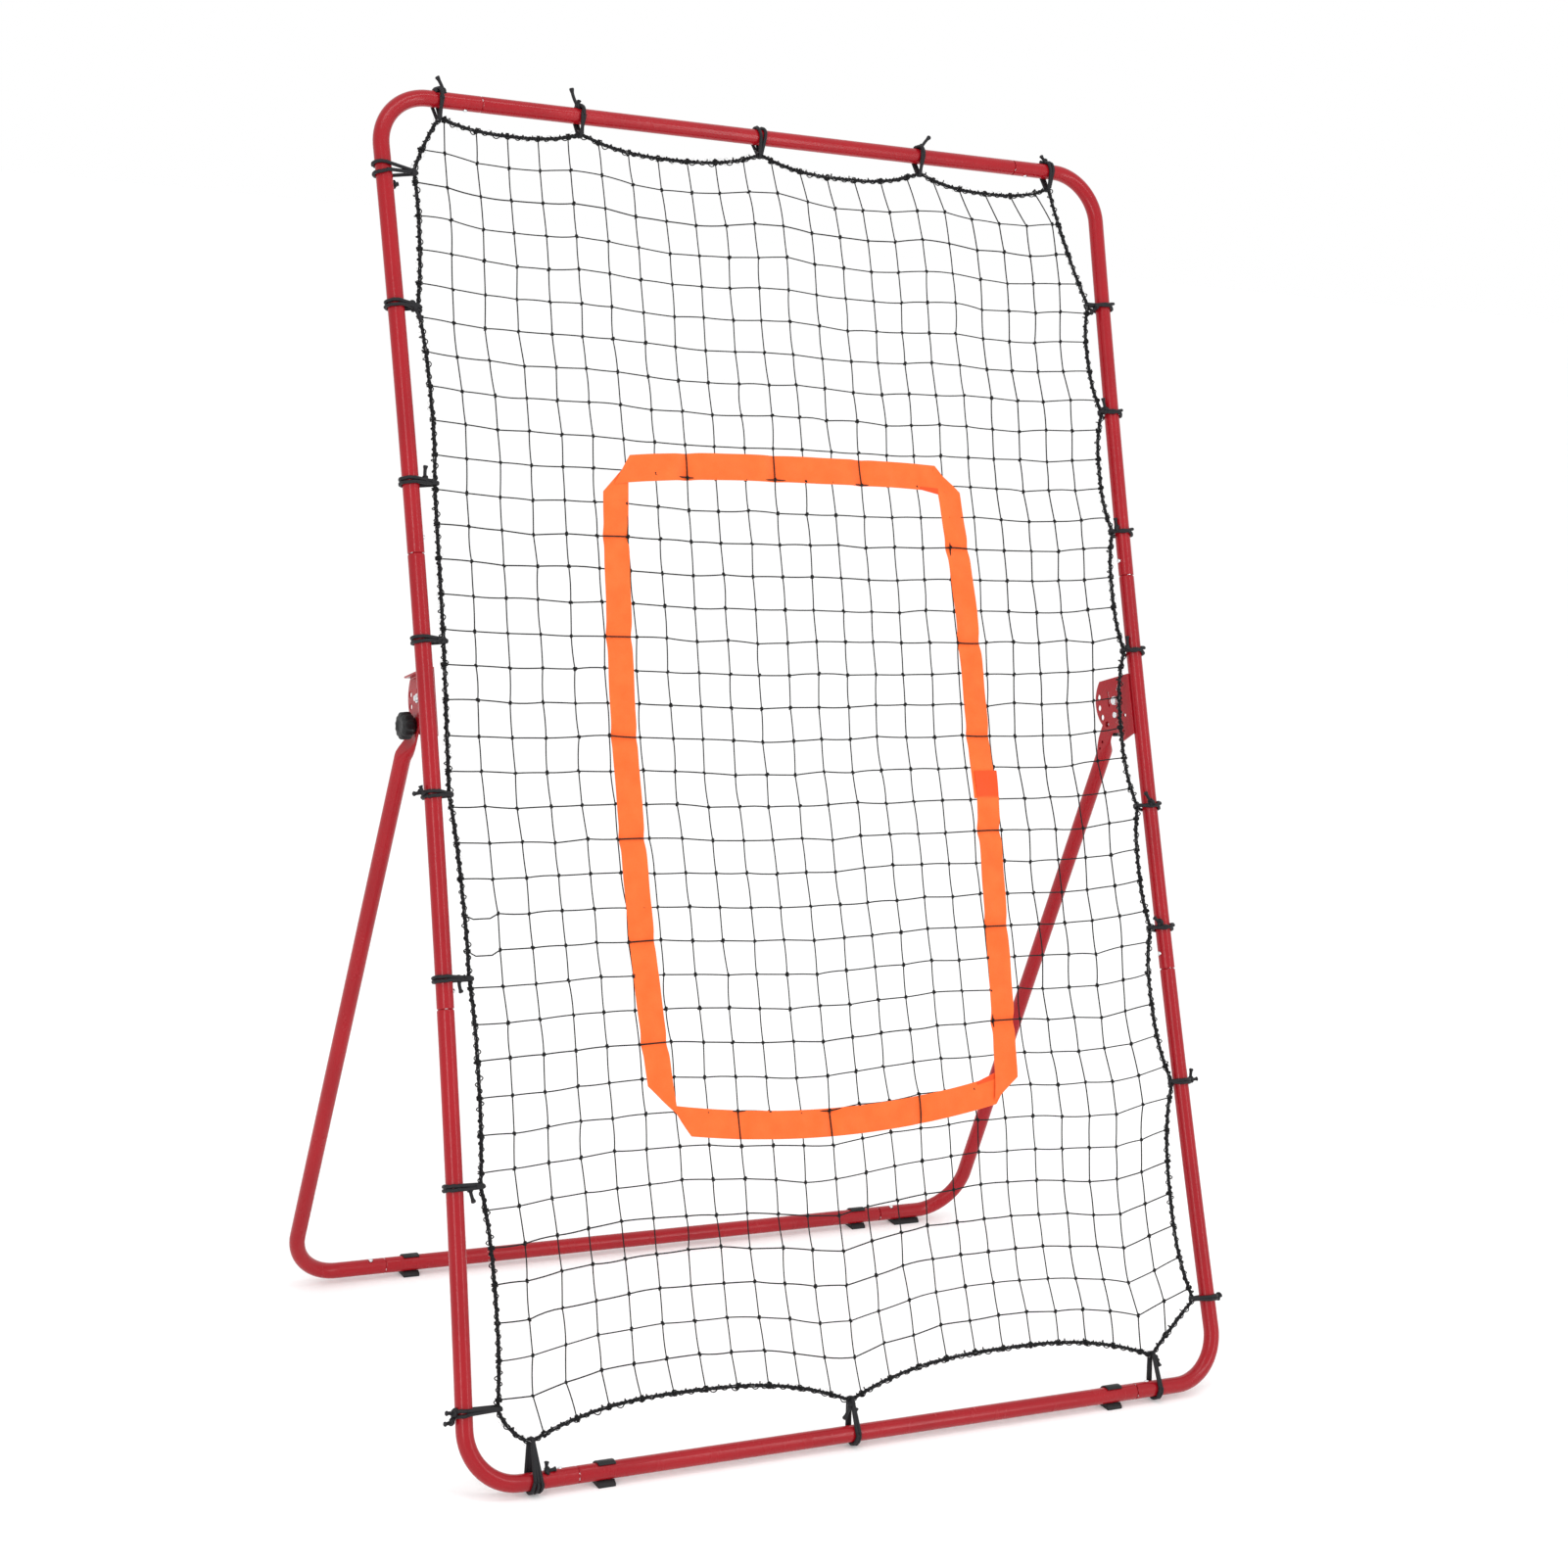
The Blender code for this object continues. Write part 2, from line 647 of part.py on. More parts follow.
def strike_zone():
    """The ribbon threaded on the front of the net, as one flat closed band."""
    front = -NET_THICKNESS / 2 - CLEARANCE - ZONE_THICKNESS
    outer = chamfered(ZONE_HALF_WIDTH, ZONE_BOTTOM, ZONE_TOP, ZONE_CHAMFER)
    inner = chamfered(ZONE_HALF_WIDTH - ZONE_STRIP, ZONE_BOTTOM + ZONE_STRIP, ZONE_TOP - ZONE_STRIP, ZONE_CHAMFER / 2)
    rings = []
    for outline, behind in ((outer, front), (outer, front + ZONE_THICKNESS),
                            (inner, front + ZONE_THICKNESS), (inner, front)):
        rings.append([on_frame(x, height, behind) for x, height in outline])
    points, faces = loft(rings, closed=True)
    return add_object("strike_zone_ribbon", points, faces, orange_webbing, smooth=False)


# ---------------------------------------------------------------- assembly

def build_frame():
    """The front frame's eight tubes and the snap buttons at its eight seams."""
    bars = {True: frame_bar("frame_bottom_bar", 0), False: frame_bar("frame_top_bar", FRAME_HEIGHT)}
    for word, sign in (("left", -1), ("right", 1)):
        side = frame_side(f"frame_{word}_side", sign)
        lower = frame_corner(f"frame_bottom_{word}_corner", sign, True)
        upper = frame_corner(f"frame_top_{word}_corner", sign, False)
        inwards = ACROSS * -sign
        for place, height, tubes in (("lower", LOWER_SEAM_HEIGHT, (lower, side)),
                                     ("upper", UPPER_SEAM_HEIGHT, (side, upper))):
            seam = on_frame(sign * side_x(height + BUTTON_FROM_SEAM), height)
            snap_button(f"button_{word}_{place}", seam, UP_FRAME, inwards, tubes)
        for place, height, tubes, up in (("bottom", 0, (lower, bars[True]), UP_FRAME),
                                         ("top", FRAME_HEIGHT, (upper, bars[False]), -UP_FRAME)):
            seam = on_frame(sign * BAR_SEAM_X, height)
            snap_button(f"button_{place}_{word}", seam, ACROSS * sign, up, tubes)


def build_leg():
    """The rear leg's three tubes, its snap buttons, its feet and the knobs that lock it."""
    bar = leg_bar()
    for word, sign in (("left", -1), ("right", 1)):
        side = leg_side(f"leg_{word}_side", sign)
        start_x = sign * (LEG_END_X - 0.006)
        for place, along, radius in (("pivot", 0.0, PIVOT_RADIUS + CLEARANCE), ("lock", LOCK_RADIUS, 0.0034)):
            cut_hole([side], f"leg_{word}_{place}_hole", PIVOT + DOWN_LEG * along + ACROSS * start_x,
                     ACROSS * sign, 0.012, radius)
        seam = REAR_BAR + ACROSS * (sign * LEG_BAR_SEAM_X)
        snap_button(f"button_leg_{word}", seam, ACROSS * sign, -DOWN_LEG, (side, bar))
        foot(f"rear_foot_{word}", REAR_BAR, sign * REAR_FOOT_X, CLIP_WIDTH, 120, PIVOT)
        pivot_bolt(f"pivot_bolt_{word}", sign)
        lock_knob(f"lock_knob_{word}", sign)
    foot("rear_heel_pad", REAR_BAR, HEEL_FROM_X + HEEL_LENGTH / 2, HEEL_LENGTH, -20, PIVOT)


def build_net():
    net_panel()
    border_rope()
    strike_zone()
    for name, tube_centre, rope_centre, _ in tie_places():
        tie(name, tube_centre, rope_centre)


def main():
    for old in list(bpy.data.objects):
        bpy.data.objects.remove(old, do_unlink=True)
    build_frame()
    for word, sign in (("left", -1), ("right", 1)):
        bracket(f"bracket_{word}", sign)
        foot(f"front_foot_{word}", FRAME_FOOT, sign * FRONT_FOOT_X, CLIP_WIDTH, 120)
    build_leg()
    build_net()


main()
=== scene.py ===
import json
import math

import bmesh
import bpy
import numpy as np
from mathutils import Matrix, Quaternion, Vector


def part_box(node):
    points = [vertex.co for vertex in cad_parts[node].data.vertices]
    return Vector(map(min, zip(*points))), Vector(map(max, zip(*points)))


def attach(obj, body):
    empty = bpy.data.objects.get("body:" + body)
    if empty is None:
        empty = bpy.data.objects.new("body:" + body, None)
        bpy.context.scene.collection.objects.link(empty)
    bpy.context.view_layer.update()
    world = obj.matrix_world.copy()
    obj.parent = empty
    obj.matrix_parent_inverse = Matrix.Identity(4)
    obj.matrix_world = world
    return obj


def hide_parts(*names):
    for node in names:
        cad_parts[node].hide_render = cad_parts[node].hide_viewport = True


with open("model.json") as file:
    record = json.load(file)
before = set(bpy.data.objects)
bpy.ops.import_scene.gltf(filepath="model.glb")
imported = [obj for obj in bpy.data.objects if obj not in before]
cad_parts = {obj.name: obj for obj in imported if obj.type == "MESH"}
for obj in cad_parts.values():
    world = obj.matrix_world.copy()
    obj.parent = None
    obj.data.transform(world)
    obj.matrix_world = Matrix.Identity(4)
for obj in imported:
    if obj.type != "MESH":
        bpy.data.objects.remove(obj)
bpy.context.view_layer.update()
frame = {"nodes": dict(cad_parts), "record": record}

# All lengths are metres. X is across, Y points to the rear and Z is up, as in the CAD.

# The camera stands at a person's eye level, in front of the left side, and is held slightly rolled.
CAMERA_AZIMUTH = math.radians(-31.014)
CAMERA_ELEVATION = math.radians(10.593)
CAMERA_ROLL = math.radians(6.669)
CAMERA_DISTANCE = 3.4143
CAMERA_TARGET = Vector((-0.265, -0.339, 1.0154))
CAMERA_LENS = 65.42
CAMERA_SHIFT_Y = -0.063

# Tubes, as in the CAD
TUBE_RADIUS = 0.011
TUBE_WALL = 0.0012
TUBE_SIDES = 48
CORNER_RADIUS = 0.070
CORNER_STEPS = 20
SLEEVE_LENGTH = 0.045
SLEEVE_CLEARANCE = 0.0006
SHOULDER_LENGTH = 0.0018
SEAM_GAP = 0.0004
LIP = 0.0005
FRAME_HALF_WIDTH = 0.575
SIDE_BOW = 0.013
LOWER_SEAM_HEIGHT = 0.580
UPPER_SEAM_HEIGHT = 1.158
BAR_SEAM_X = 0.430
LEG_HALF_WIDTH = 0.5605
LEG_BAR_SEAM_X = 0.418
LEG_END_THICKNESS = 0.003
LEG_END_HALF_WIDTH = 0.0135
LEG_FLAT_LENGTH = 0.056
LEG_ROUND_FROM = 0.090
LOCK_RADIUS = 0.040
BUTTON_FROM_SEAM = 0.022
BUTTON_HOLE_RADIUS = 0.0034

# Brackets, in the frame's plane
PIVOT_BEHIND = 0.038
PIVOT_HEIGHT = 0.978
PLATE_THICKNESS = 0.0025
PLATE_TOP = 1.012
PLATE_BOTTOM = 0.924
PLATE_FRONT = 0.0015
PLATE_ARC_RADIUS = 0.0475
FLANGE_WIDTH = 0.0095
LOCK_HOLES = 4
LOCK_HOLE_RADIUS = 0.0044
LOCK_STEP = math.radians(22.5)

# Feet
CLIP_THICKNESS = 0.0026
PAD_HALF_DEPTH = 0.012
HEEL_START = 0.008
HEEL_REACH = 0.020

# Net: its rows leave the left rope and the right rope evenly, and its columns the top and the bottom
COLUMNS = 22
ROWS = 36
MESH = 0.0456
LEFT_ROW_HEIGHT = 1.7001
LEFT_ROW_STEP = 0.04566
RIGHT_ROW_HEIGHT = 1.6900
RIGHT_ROW_STEP = 0.0446
TOP_COLUMN_X = -0.4833
TOP_COLUMN_STEP = 0.04524
BOTTOM_COLUMN_X = -0.4695
BOTTOM_COLUMN_STEP = 0.04591
HEIGHT_PULL = 0.030
WIDTH_PULL = 35.0
NET_LOAD = 0.000032
NET_BELLY = 0.000034
SLACK_ROWS = (23, 24)
TWINE_RADIUS = 0.00092
TWINE_BOW = 0.0005
TWINE_STEPS = 4
KNOT_RADIUS = 0.0019
KNOT_SCATTER = 0.0010

# Border rope and what is wound round it
ROPE_RADIUS = 0.0025
STRAND_RADIUS = 0.00130
ROPE_PITCH = 0.019
LACING_PITCH = 0.015
LACING_RADIUS = 0.0008
FIBRES = 1700
FIBRE_RADIUS = 0.00017
ROPE_FLATNESS = 2.6

# How far the rope lies from the tube's centre line at each tie, clockwise from the top left
ROPE_INSETS = {
    "top": (0.025, 0.025, 0.025, 0.025, 0.026),
    "right": (0.027, 0.018, 0.018, 0.0175, 0.022, 0.022, 0.015, 0.025),
    "bottom": (0.045, 0.042, 0.047),
    "left": (0.045, 0.035, 0.034, 0.022, 0.029, 0.033, 0.030, 0.042),
}
# How far the rope hangs inwards on its way from each tie to the next
ROPE_SAGS = {
    "top": (0.015, 0.0225, 0.0225, 0.020, 0.0045),
    "right": (0.0135, 0.0145, 0.0115, 0.018, 0.010, 0.017, 0.023, 0.001),
    "bottom": (0.038, 0.037, -0.007),
    "left": (0.0085, 0.0055, 0.0035, 0.0, 0.0, 0.0065, 0.0055, -0.003),
}
TIE_RADIUS = 0.0024


def tie_style(turns, spread, crossed=False, knots=(), tails=()):
    """How one tie is wound.

    Knots are (across, up, in front) of the tube's centre, and tails are (knot, degrees, length).
    """
    return {"turns": turns, "spread": spread, "crossed": crossed, "knots": knots, "tails": tails}


TIE_STYLES = {
    "tie_top_1": tie_style(2, 0.009, True, [(0.006, 0.010, 0.006)], [(0, 105, 0.021), (0, 190, 0.013)]),
    "tie_top_2": tie_style(2, 0.006, True, [(-0.004, 0.012, 0.005)], [(0, 120, 0.025), (0, 70, 0.009)]),
    "tie_top_3": tie_style(2, 0.009),
    "tie_top_4": tie_style(2, 0.005, True, [(0.004, 0.012, 0.004)], [(0, 55, 0.024)]),
    "tie_top_5": tie_style(2, 0.006, False, [(-0.003, 0.013, 0.003)], [(0, 125, 0.012), (0, 185, 0.010)]),
    "tie_right_1": tie_style(2, 0.010, True, [(-0.017, -0.002, 0.006)], [(0, 225, 0.018)]),
    "tie_right_2": tie_style(2, 0.009, True, [(-0.016, 0.003, 0.007)], [(0, 100, 0.018)]),
    "tie_right_3": tie_style(2, 0.009, True, [(-0.015, 0.004, 0.007)], [(0, 92, 0.016)]),
    "tie_right_4": tie_style(2, 0.010, True, [(-0.016, 0.003, 0.007)], [(0, 84, 0.018)]),
    "tie_right_5": tie_style(2, 0.009, True, [(-0.006, 0.004, 0.013)], [(0, 125, 0.018)]),
    "tie_right_6": tie_style(2, 0.008, True, [(-0.012, 0.007, 0.010)], [(0, 140, 0.012)]),
    "tie_right_7": tie_style(2, 0.004, False, [(0.017, 0.001, 0.002)], [(0, 85, 0.016), (0, 5, 0.011)]),
    "tie_right_8": tie_style(2, 0.004, False, [(0.018, 0.000, 0.002)], [(0, 10, 0.006)]),
    "tie_bottom_1": tie_style(2, 0.004, False, [(0.004, 0.040, 0.004)], [(0, 300, 0.012)]),
    "tie_bottom_2": tie_style(2, 0.004, False, [(-0.002, 0.038, 0.004)], [(0, 240, 0.022), (0, 300, 0.012)]),
    "tie_bottom_3": tie_style(3, 0.012, False, [(0.016, 0.010, 0.006)], [(0, 95, 0.012), (0, 10, 0.012)]),
    "tie_left_1": tie_style(
        2, 0.006, False, [(-0.014, 0.002, 0.004), (-0.017, -0.008, 0.002)], [(0, 178, 0.012), (1, 200, 0.011)]
    ),
    "tie_left_2": tie_style(2, 0.005, False, [(0.018, -0.002, 0.006)], [(0, 275, 0.018), (0, 5, 0.010)]),
    "tie_left_3": tie_style(2, 0.005, False, [(0.018, -0.001, 0.006)], [(0, 262, 0.017), (0, 12, 0.009)]),
    "tie_left_4": tie_style(2, 0.006, False, [(-0.016, 0.002, 0.004)], [(0, 190, 0.013), (0, 95, 0.009)]),
    "tie_left_5": tie_style(2, 0.006, False, [(0.017, 0.000, 0.006)], [(0, 330, 0.009)]),
    "tie_left_6": tie_style(2, 0.006, False, [(0.018, 0.002, 0.006)], [(0, 95, 0.018), (0, 355, 0.010)]),
    "tie_left_7": tie_style(
        2, 0.006, False, [(0.020, 0.000, 0.005), (0.024, -0.004, 0.004)], [(1, 305, 0.018), (1, 340, 0.010)]
    ),
    "tie_left_8": tie_style(
        2, 0.014, False, [(0.015, -0.018, -0.004), (0.040, -0.002, 0.003)], [(0, 140, 0.014), (0, 10, 0.006)]
    ),
}

# Strike-zone ribbon. Its edges bow a little. Strings are counted from the left and from the top.
ZONE_LEFT = -0.266
ZONE_RIGHT = 0.260
ZONE_BOTTOM = 0.402
ZONE_TOP = 1.2945
ZONE_LEFT_BOW = 0.018
ZONE_RIGHT_BOW = 0.016
COLUMNS_IN_FRONT = (8, 11, 14)
ROWS_IN_FRONT = (12, 15, 18, 21, 24, 27)
LOWER_RUN_TOP = 0.871
UPPER_RUN_BOTTOM = 0.832
OVERLAP_SHIFT = 0.0045
RIBBON_WIDTH = 0.0372
RIBBON_THICKNESS = 0.0005
RIBBON_ACROSS = 8
RIBBON_STEP = 0.003
RIBBON_IN_FRONT = 0.0019
RIBBON_BEHIND = 0.0017
RIBBON_CUP = 0.0008
RAISED_LENGTH = 0.060
FLAP_LENGTH = 0.030
FLAP_DEPTH = 0.005

# How far each folded corner cuts across the ribbon's ends: along its level run, then along its upright one
RIBBON_CUTS = {
    "top_left": (0.042, 0.050),
    "top_right": (0.036, 0.040),
    "bottom_left": (0.056, 0.064),
    "bottom_right": (0.036, 0.034),
}

RANDOM = np.random.default_rng(7)


def middle(node):
    """The centre of a CAD node's box, moved onto the plane of symmetry."""
    low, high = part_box(node)
    return np.array((0.0, (low.y + high.y) / 2, (low.z + high.z) / 2))


def unit(vector):
    return vector / np.linalg.norm(vector)


ACROSS = np.array((1.0, 0.0, 0.0))
FRAME_FOOT = middle("frame_bottom_bar")
FRAME_HEIGHT = float(np.linalg.norm(middle("frame_top_bar") - FRAME_FOOT))
UP = unit(middle("frame_top_bar") - FRAME_FOOT)
BEHIND = np.cross(UP, ACROSS)
PIVOT = middle("pivot_bolt_left")
REAR_BAR = middle("leg_rear_bar")
DOWN_LEG = unit(REAR_BAR - PIVOT)
LEG_NORMAL = np.cross(ACROSS, DOWN_LEG)
BODY_OF = {node: body for body, nodes in frame["record"]["behaviour"]["bodies"].items() for node in nodes}


def on_frame(x, height, behind=0.0):
    """The point at this X, this far up the leaning frame and this far behind it. It takes arrays too."""
    x, height, behind = np.broadcast_arrays(x, height, behind)
    return FRAME_FOOT + x[..., None] * ACROSS + height[..., None] * UP + behind[..., None] * BEHIND


def side_x(height):
    """X of the right side tube, which the net's pull bows inwards between its two corner bends."""
    part = (height - CORNER_RADIUS) / (FRAME_HEIGHT - 2 * CORNER_RADIUS)
    return FRAME_HALF_WIDTH - SIDE_BOW * 4 * part * (1 - part)


# ---------------------------------------------------------------- camera, light and floor

def place_camera():
    back = Vector(
        (
            math.sin(CAMERA_AZIMUTH) * math.cos(CAMERA_ELEVATION),
            -math.cos(CAMERA_AZIMUTH) * math.cos(CAMERA_ELEVATION),
            math.sin(CAMERA_ELEVATION),
        )
    )
    data = bpy.data.cameras.new("camera")
    data.lens = CAMERA_LENS
    data.sensor_width = 36.0
    data.shift_y = CAMERA_SHIFT_Y
    camera = bpy.data.objects.new("camera", data)
    turn = (-back).to_track_quat("-Z", "Y") @ Quaternion((0, 0, 1), CAMERA_ROLL)
    place = Matrix.Translation(CAMERA_TARGET + CAMERA_DISTANCE * back)
    camera.matrix_world = place @ turn.to_matrix().to_4x4()
    bpy.context.scene.collection.objects.link(camera)
    bpy.context.scene.camera = camera


def softbox(name, place, aim, width, height, power):
    """A rectangular area light at a place, facing the point it aims at."""
    data = bpy.data.lights.new(name, "AREA")
    data.shape = "RECTANGLE"
    data.size = width
    data.size_y = height
    data.energy = power
    lamp = bpy.data.objects.new(name, data)
    lamp.location = place
    lamp.rotation_mode = "QUATERNION"
    lamp.rotation_quaternion = (Vector(aim) - Vector(place)).to_track_quat("-Z", "Y")
    bpy.context.scene.collection.objects.link(lamp)


def light_studio():
    bpy.context.scene.view_settings.view_transform = "Standard"
    world = bpy.data.worlds.new("studio")
    world.use_nodes = True
    background = world.node_tree.nodes["Background"]
    background.inputs["Color"].default_value = (1.0, 1.0, 1.0, 1.0)
    background.inputs["Strength"].default_value = 1.0
    bpy.context.scene.world = world
    aim = (0.0, 0.0, 0.9)
    softbox("left_strip", (-2.7, -2.3, 1.9), aim, 0.35, 3.2, 34)
    softbox("right_strip", (1.9, -3.1, 2.0), aim, 0.35, 3.2, 26)
    softbox("top_strip", (-0.3, -0.9, 4.0), aim, 3.2, 0.4, 22)


def lay_floor():
    mesh = bpy.data.meshes.new("floor")
    reach = 40.0
    corners = [(-reach, -reach, 0), (reach, -reach, 0), (reach, reach, 0), (-reach, reach, 0)]
    mesh.from_pydata(corners, [], [(0, 1, 2, 3)])
    floor = bpy.data.objects.new("floor", mesh)
    mesh.materials.append(floor_paint())
    bpy.context.scene.collection.objects.link(floor)


# ---------------------------------------------------------------- materials

class Nodes:
    """A short way to write a material's node tree."""

    def __init__(self, name):
        self.material = bpy.data.materials.new(name)
        self.material.use_nodes = True
        self.tree = self.material.node_tree
        self.shader = self.tree.nodes["Principled BSDF"]

    def add(self, kind, settings=None, **inputs):
        node = self.tree.nodes.new(kind)
        for key, value in (settings or {}).items():
            setattr(node, key, value)
        for key, value in inputs.items():
            self.feed(node.inputs[key.replace("_", " ")], value)
        return node

    def feed(self, socket, value):
        if isinstance(value, bpy.types.NodeSocket):
            self.tree.links.new(value, socket)
        else:
            socket.default_value = value

    def math(self, operation, *values):
        node = self.tree.nodes.new("ShaderNodeMath")
        node.operation = operation
        for socket, value in zip(node.inputs, values):
            self.feed(socket, value)
        return node.outputs[0]

    def noise(self, scale, detail=2.0, stretch=None):
        """3-D noise in the row frame, with this many lumps a metre, from 0 to 1."""
        place = self.add("ShaderNodeTexCoord").outputs["Object"]
        if stretch is not None:
            place = self.add("ShaderNodeMapping", Vector=place, Scale=stretch).outputs[0]
        return self.add("ShaderNodeTexNoise", Vector=place, Scale=scale, Detail=detail).outputs["Fac"]

    def ramp(self, value, low, high, first, last):
        """Goes from first to last as value goes from low to high."""
        node = self.add("ShaderNodeMapRange", Value=value)
        node.inputs["From Min"].default_value = low
        node.inputs["From Max"].default_value = high
        node.inputs["To Min"].default_value = first
        node.inputs["To Max"].default_value = last
        return node.outputs[0]

    def mix(self, part, first, last):
        """A colour between two colours."""
        node = self.add("ShaderNodeMix", {"data_type": "RGBA"})
        self.feed(node.inputs[0], part)
        for socket, value in ((node.inputs[6], first), (node.inputs[7], last)):
            self.feed(socket, value if isinstance(value, bpy.types.NodeSocket) else (*value, 1.0))
        return node.outputs[2]

    def bump(self, height, distance, under=None):
        node = self.add("ShaderNodeBump", Height=height, Distance=distance)
        if under is not None:
            self.feed(node.inputs["Normal"], under)
        return node.outputs[0]

    def along(self, axis):
        """Where a point is round (0) or along (1) the cord that it's on."""
        place = self.add("ShaderNodeUVMap", {"uv_map": "cord"}).outputs[0]
        return self.add("ShaderNodeSeparateXYZ", Vector=place).outputs[axis]


def floor_paint():
    nodes = Nodes("studio_floor")
    tone = nodes.ramp(nodes.noise(3.0), 0.3, 0.7, 0.0, 1.0)
    nodes.feed(nodes.shader.inputs["Base Color"], nodes.mix(tone, (0.90, 0.90, 0.90), (0.92, 0.92, 0.92)))
    nodes.shader.inputs["Roughness"].default_value = 0.9
    nodes.shader.inputs["Specular IOR Level"].default_value = 0.1
    nodes.shader.inputs["Emission Color"].default_value = (1.0, 1.0, 1.0, 1.0)
    nodes.shader.inputs["Emission Strength"].default_value = 0.10
    return nodes.material


def powder_coat():
    """Red powder coat: satin gloss over a fine orange-peel skin, with slight tone changes and a few rubs."""
    nodes = Nodes("red_powder_coat")
    shader = nodes.shader
    tone = nodes.ramp(nodes.noise(9.0, 3.0), 0.3, 0.7, 0.0, 1.0)
    colour = nodes.mix(tone, (0.28, 0.0035, 0.009), (0.335, 0.005, 0.011))
    specks = nodes.ramp(nodes.noise(1400.0, 1.0), 0.70, 0.78, 0.0, 0.35)
    colour = nodes.mix(specks, colour, (0.72, 0.10, 0.11))
    nodes.feed(shader.inputs["Base Color"], colour)
    rub = nodes.ramp(nodes.noise(55.0, 5.0, (1.0, 1.0, 0.25)), 0.58, 0.72, 0.0, 0.16)
    satin = nodes.ramp(nodes.noise(300.0), 0.2, 0.8, 0.20, 0.28)
    nodes.feed(shader.inputs["Roughness"], nodes.math("ADD", rub, satin))
    peel = nodes.bump(nodes.noise(650.0, 2.0), 0.00012)
    nodes.feed(shader.inputs["Normal"], nodes.bump(nodes.noise(120.0, 2.0), 0.0002, peel))
    shader.inputs["Specular IOR Level"].default_value = 0.24
    shader.inputs["Coat Weight"].default_value = 0.10
    shader.inputs["Coat Roughness"].default_value = 0.12
    return nodes.material


def zinc_plate():
    """Bright zinc plate with fine machining lines and faint stains."""
    nodes = Nodes("zinc_steel")
    shader = nodes.shader
    stain = nodes.ramp(nodes.noise(220.0, 4.0), 0.35, 0.7, 0.0, 1.0)
    nodes.feed(shader.inputs["Base Color"], nodes.mix(stain, (0.78, 0.79, 0.80), (0.60, 0.61, 0.63)))
    shader.inputs["Metallic"].default_value = 1.0
    brushed = nodes.noise(900.0, 3.0, (4.0, 1.0, 1.0))
    nodes.feed(shader.inputs["Roughness"], nodes.ramp(brushed, 0.2, 0.8, 0.16, 0.36))
    nodes.feed(shader.inputs["Normal"], nodes.bump(nodes.noise(1800.0, 2.0, (6.0, 1.0, 1.0)), 0.00005))
    return nodes.material


def moulded_plastic():
    """Black moulded plastic with a fine spark-eroded grain and scuffed high spots."""
    nodes = Nodes("black_plastic")
    shader = nodes.shader
    scuff = nodes.ramp(nodes.noise(140.0, 5.0), 0.55, 0.75, 0.0, 0.5)
    nodes.feed(shader.inputs["Base Color"], nodes.mix(scuff, (0.009, 0.009, 0.010), (0.022, 0.022, 0.024)))
    nodes.feed(shader.inputs["Roughness"], nodes.ramp(nodes.noise(260.0, 3.0), 0.25, 0.75, 0.40, 0.58))
    grain = nodes.bump(nodes.noise(2600.0, 2.0), 0.00006)
    nodes.feed(shader.inputs["Normal"], nodes.bump(nodes.noise(420.0, 2.0), 0.00010, grain))
    shader.inputs["Specular IOR Level"].default_value = 0.30
    return nodes.material


def braided_cord(name, low, high, crossings, pitch, depth, roughness):
    """A cord's braided or twisted cover: two sets of yarns that cross round it, with painted shade in the grooves
    between them and painted light on their crowns.
    """
    nodes = Nodes(name)
    shader = nodes.shader
    turns = nodes.math("MULTIPLY", nodes.along(0), float(crossings))
    steps = nodes.math("DIVIDE", nodes.along(1), pitch)
    ridges = []
    for sign in (1.0, -1.0):
        phase = nodes.math("ADD", turns, nodes.math("MULTIPLY", steps, sign))
        wave = nodes.math("SINE", nodes.math("MULTIPLY", phase, 2 * math.pi))
        ridges.append(nodes.math("MULTIPLY_ADD", wave, 0.5, 0.5))
    braid = nodes.math("MAXIMUM", ridges[0], ridges[1])
    fibre = nodes.noise(2400.0, 3.0)
    # Painted shade and light: the colour follows the braid's height, darker in the grooves between the yarns and
    # lighter on their crowns; the fibre noise adds real tone.
    tone = nodes.math("MULTIPLY", braid, nodes.ramp(fibre, 0.3, 0.7, 0.5, 1.0))
    nodes.feed(shader.inputs["Base Color"], nodes.mix(tone, low, high))
    nodes.feed(shader.inputs["Roughness"], nodes.ramp(fibre, 0.25, 0.75, roughness - 0.08, roughness + 0.12))
    fuzz = nodes.bump(fibre, depth * 0.5)
    nodes.feed(shader.inputs["Normal"], nodes.bump(braid, depth, fuzz))
    shader.inputs["Specular IOR Level"].default_value = 0.20
    return nodes.material


def loose_fibre():
    """Pale frayed fibres."""
    nodes = Nodes("loose_fibre")
    tone = nodes.ramp(nodes.noise(600.0, 2.0), 0.35, 0.65, 0.0, 1.0)
    nodes.feed(nodes.shader.inputs["Base Color"], nodes.mix(tone, (0.05, 0.05, 0.05), (0.80, 0.80, 0.79)))
    nodes.feed(nodes.shader.inputs["Roughness"], nodes.ramp(tone, 0.0, 1.0, 0.5, 0.7))
    return nodes.material


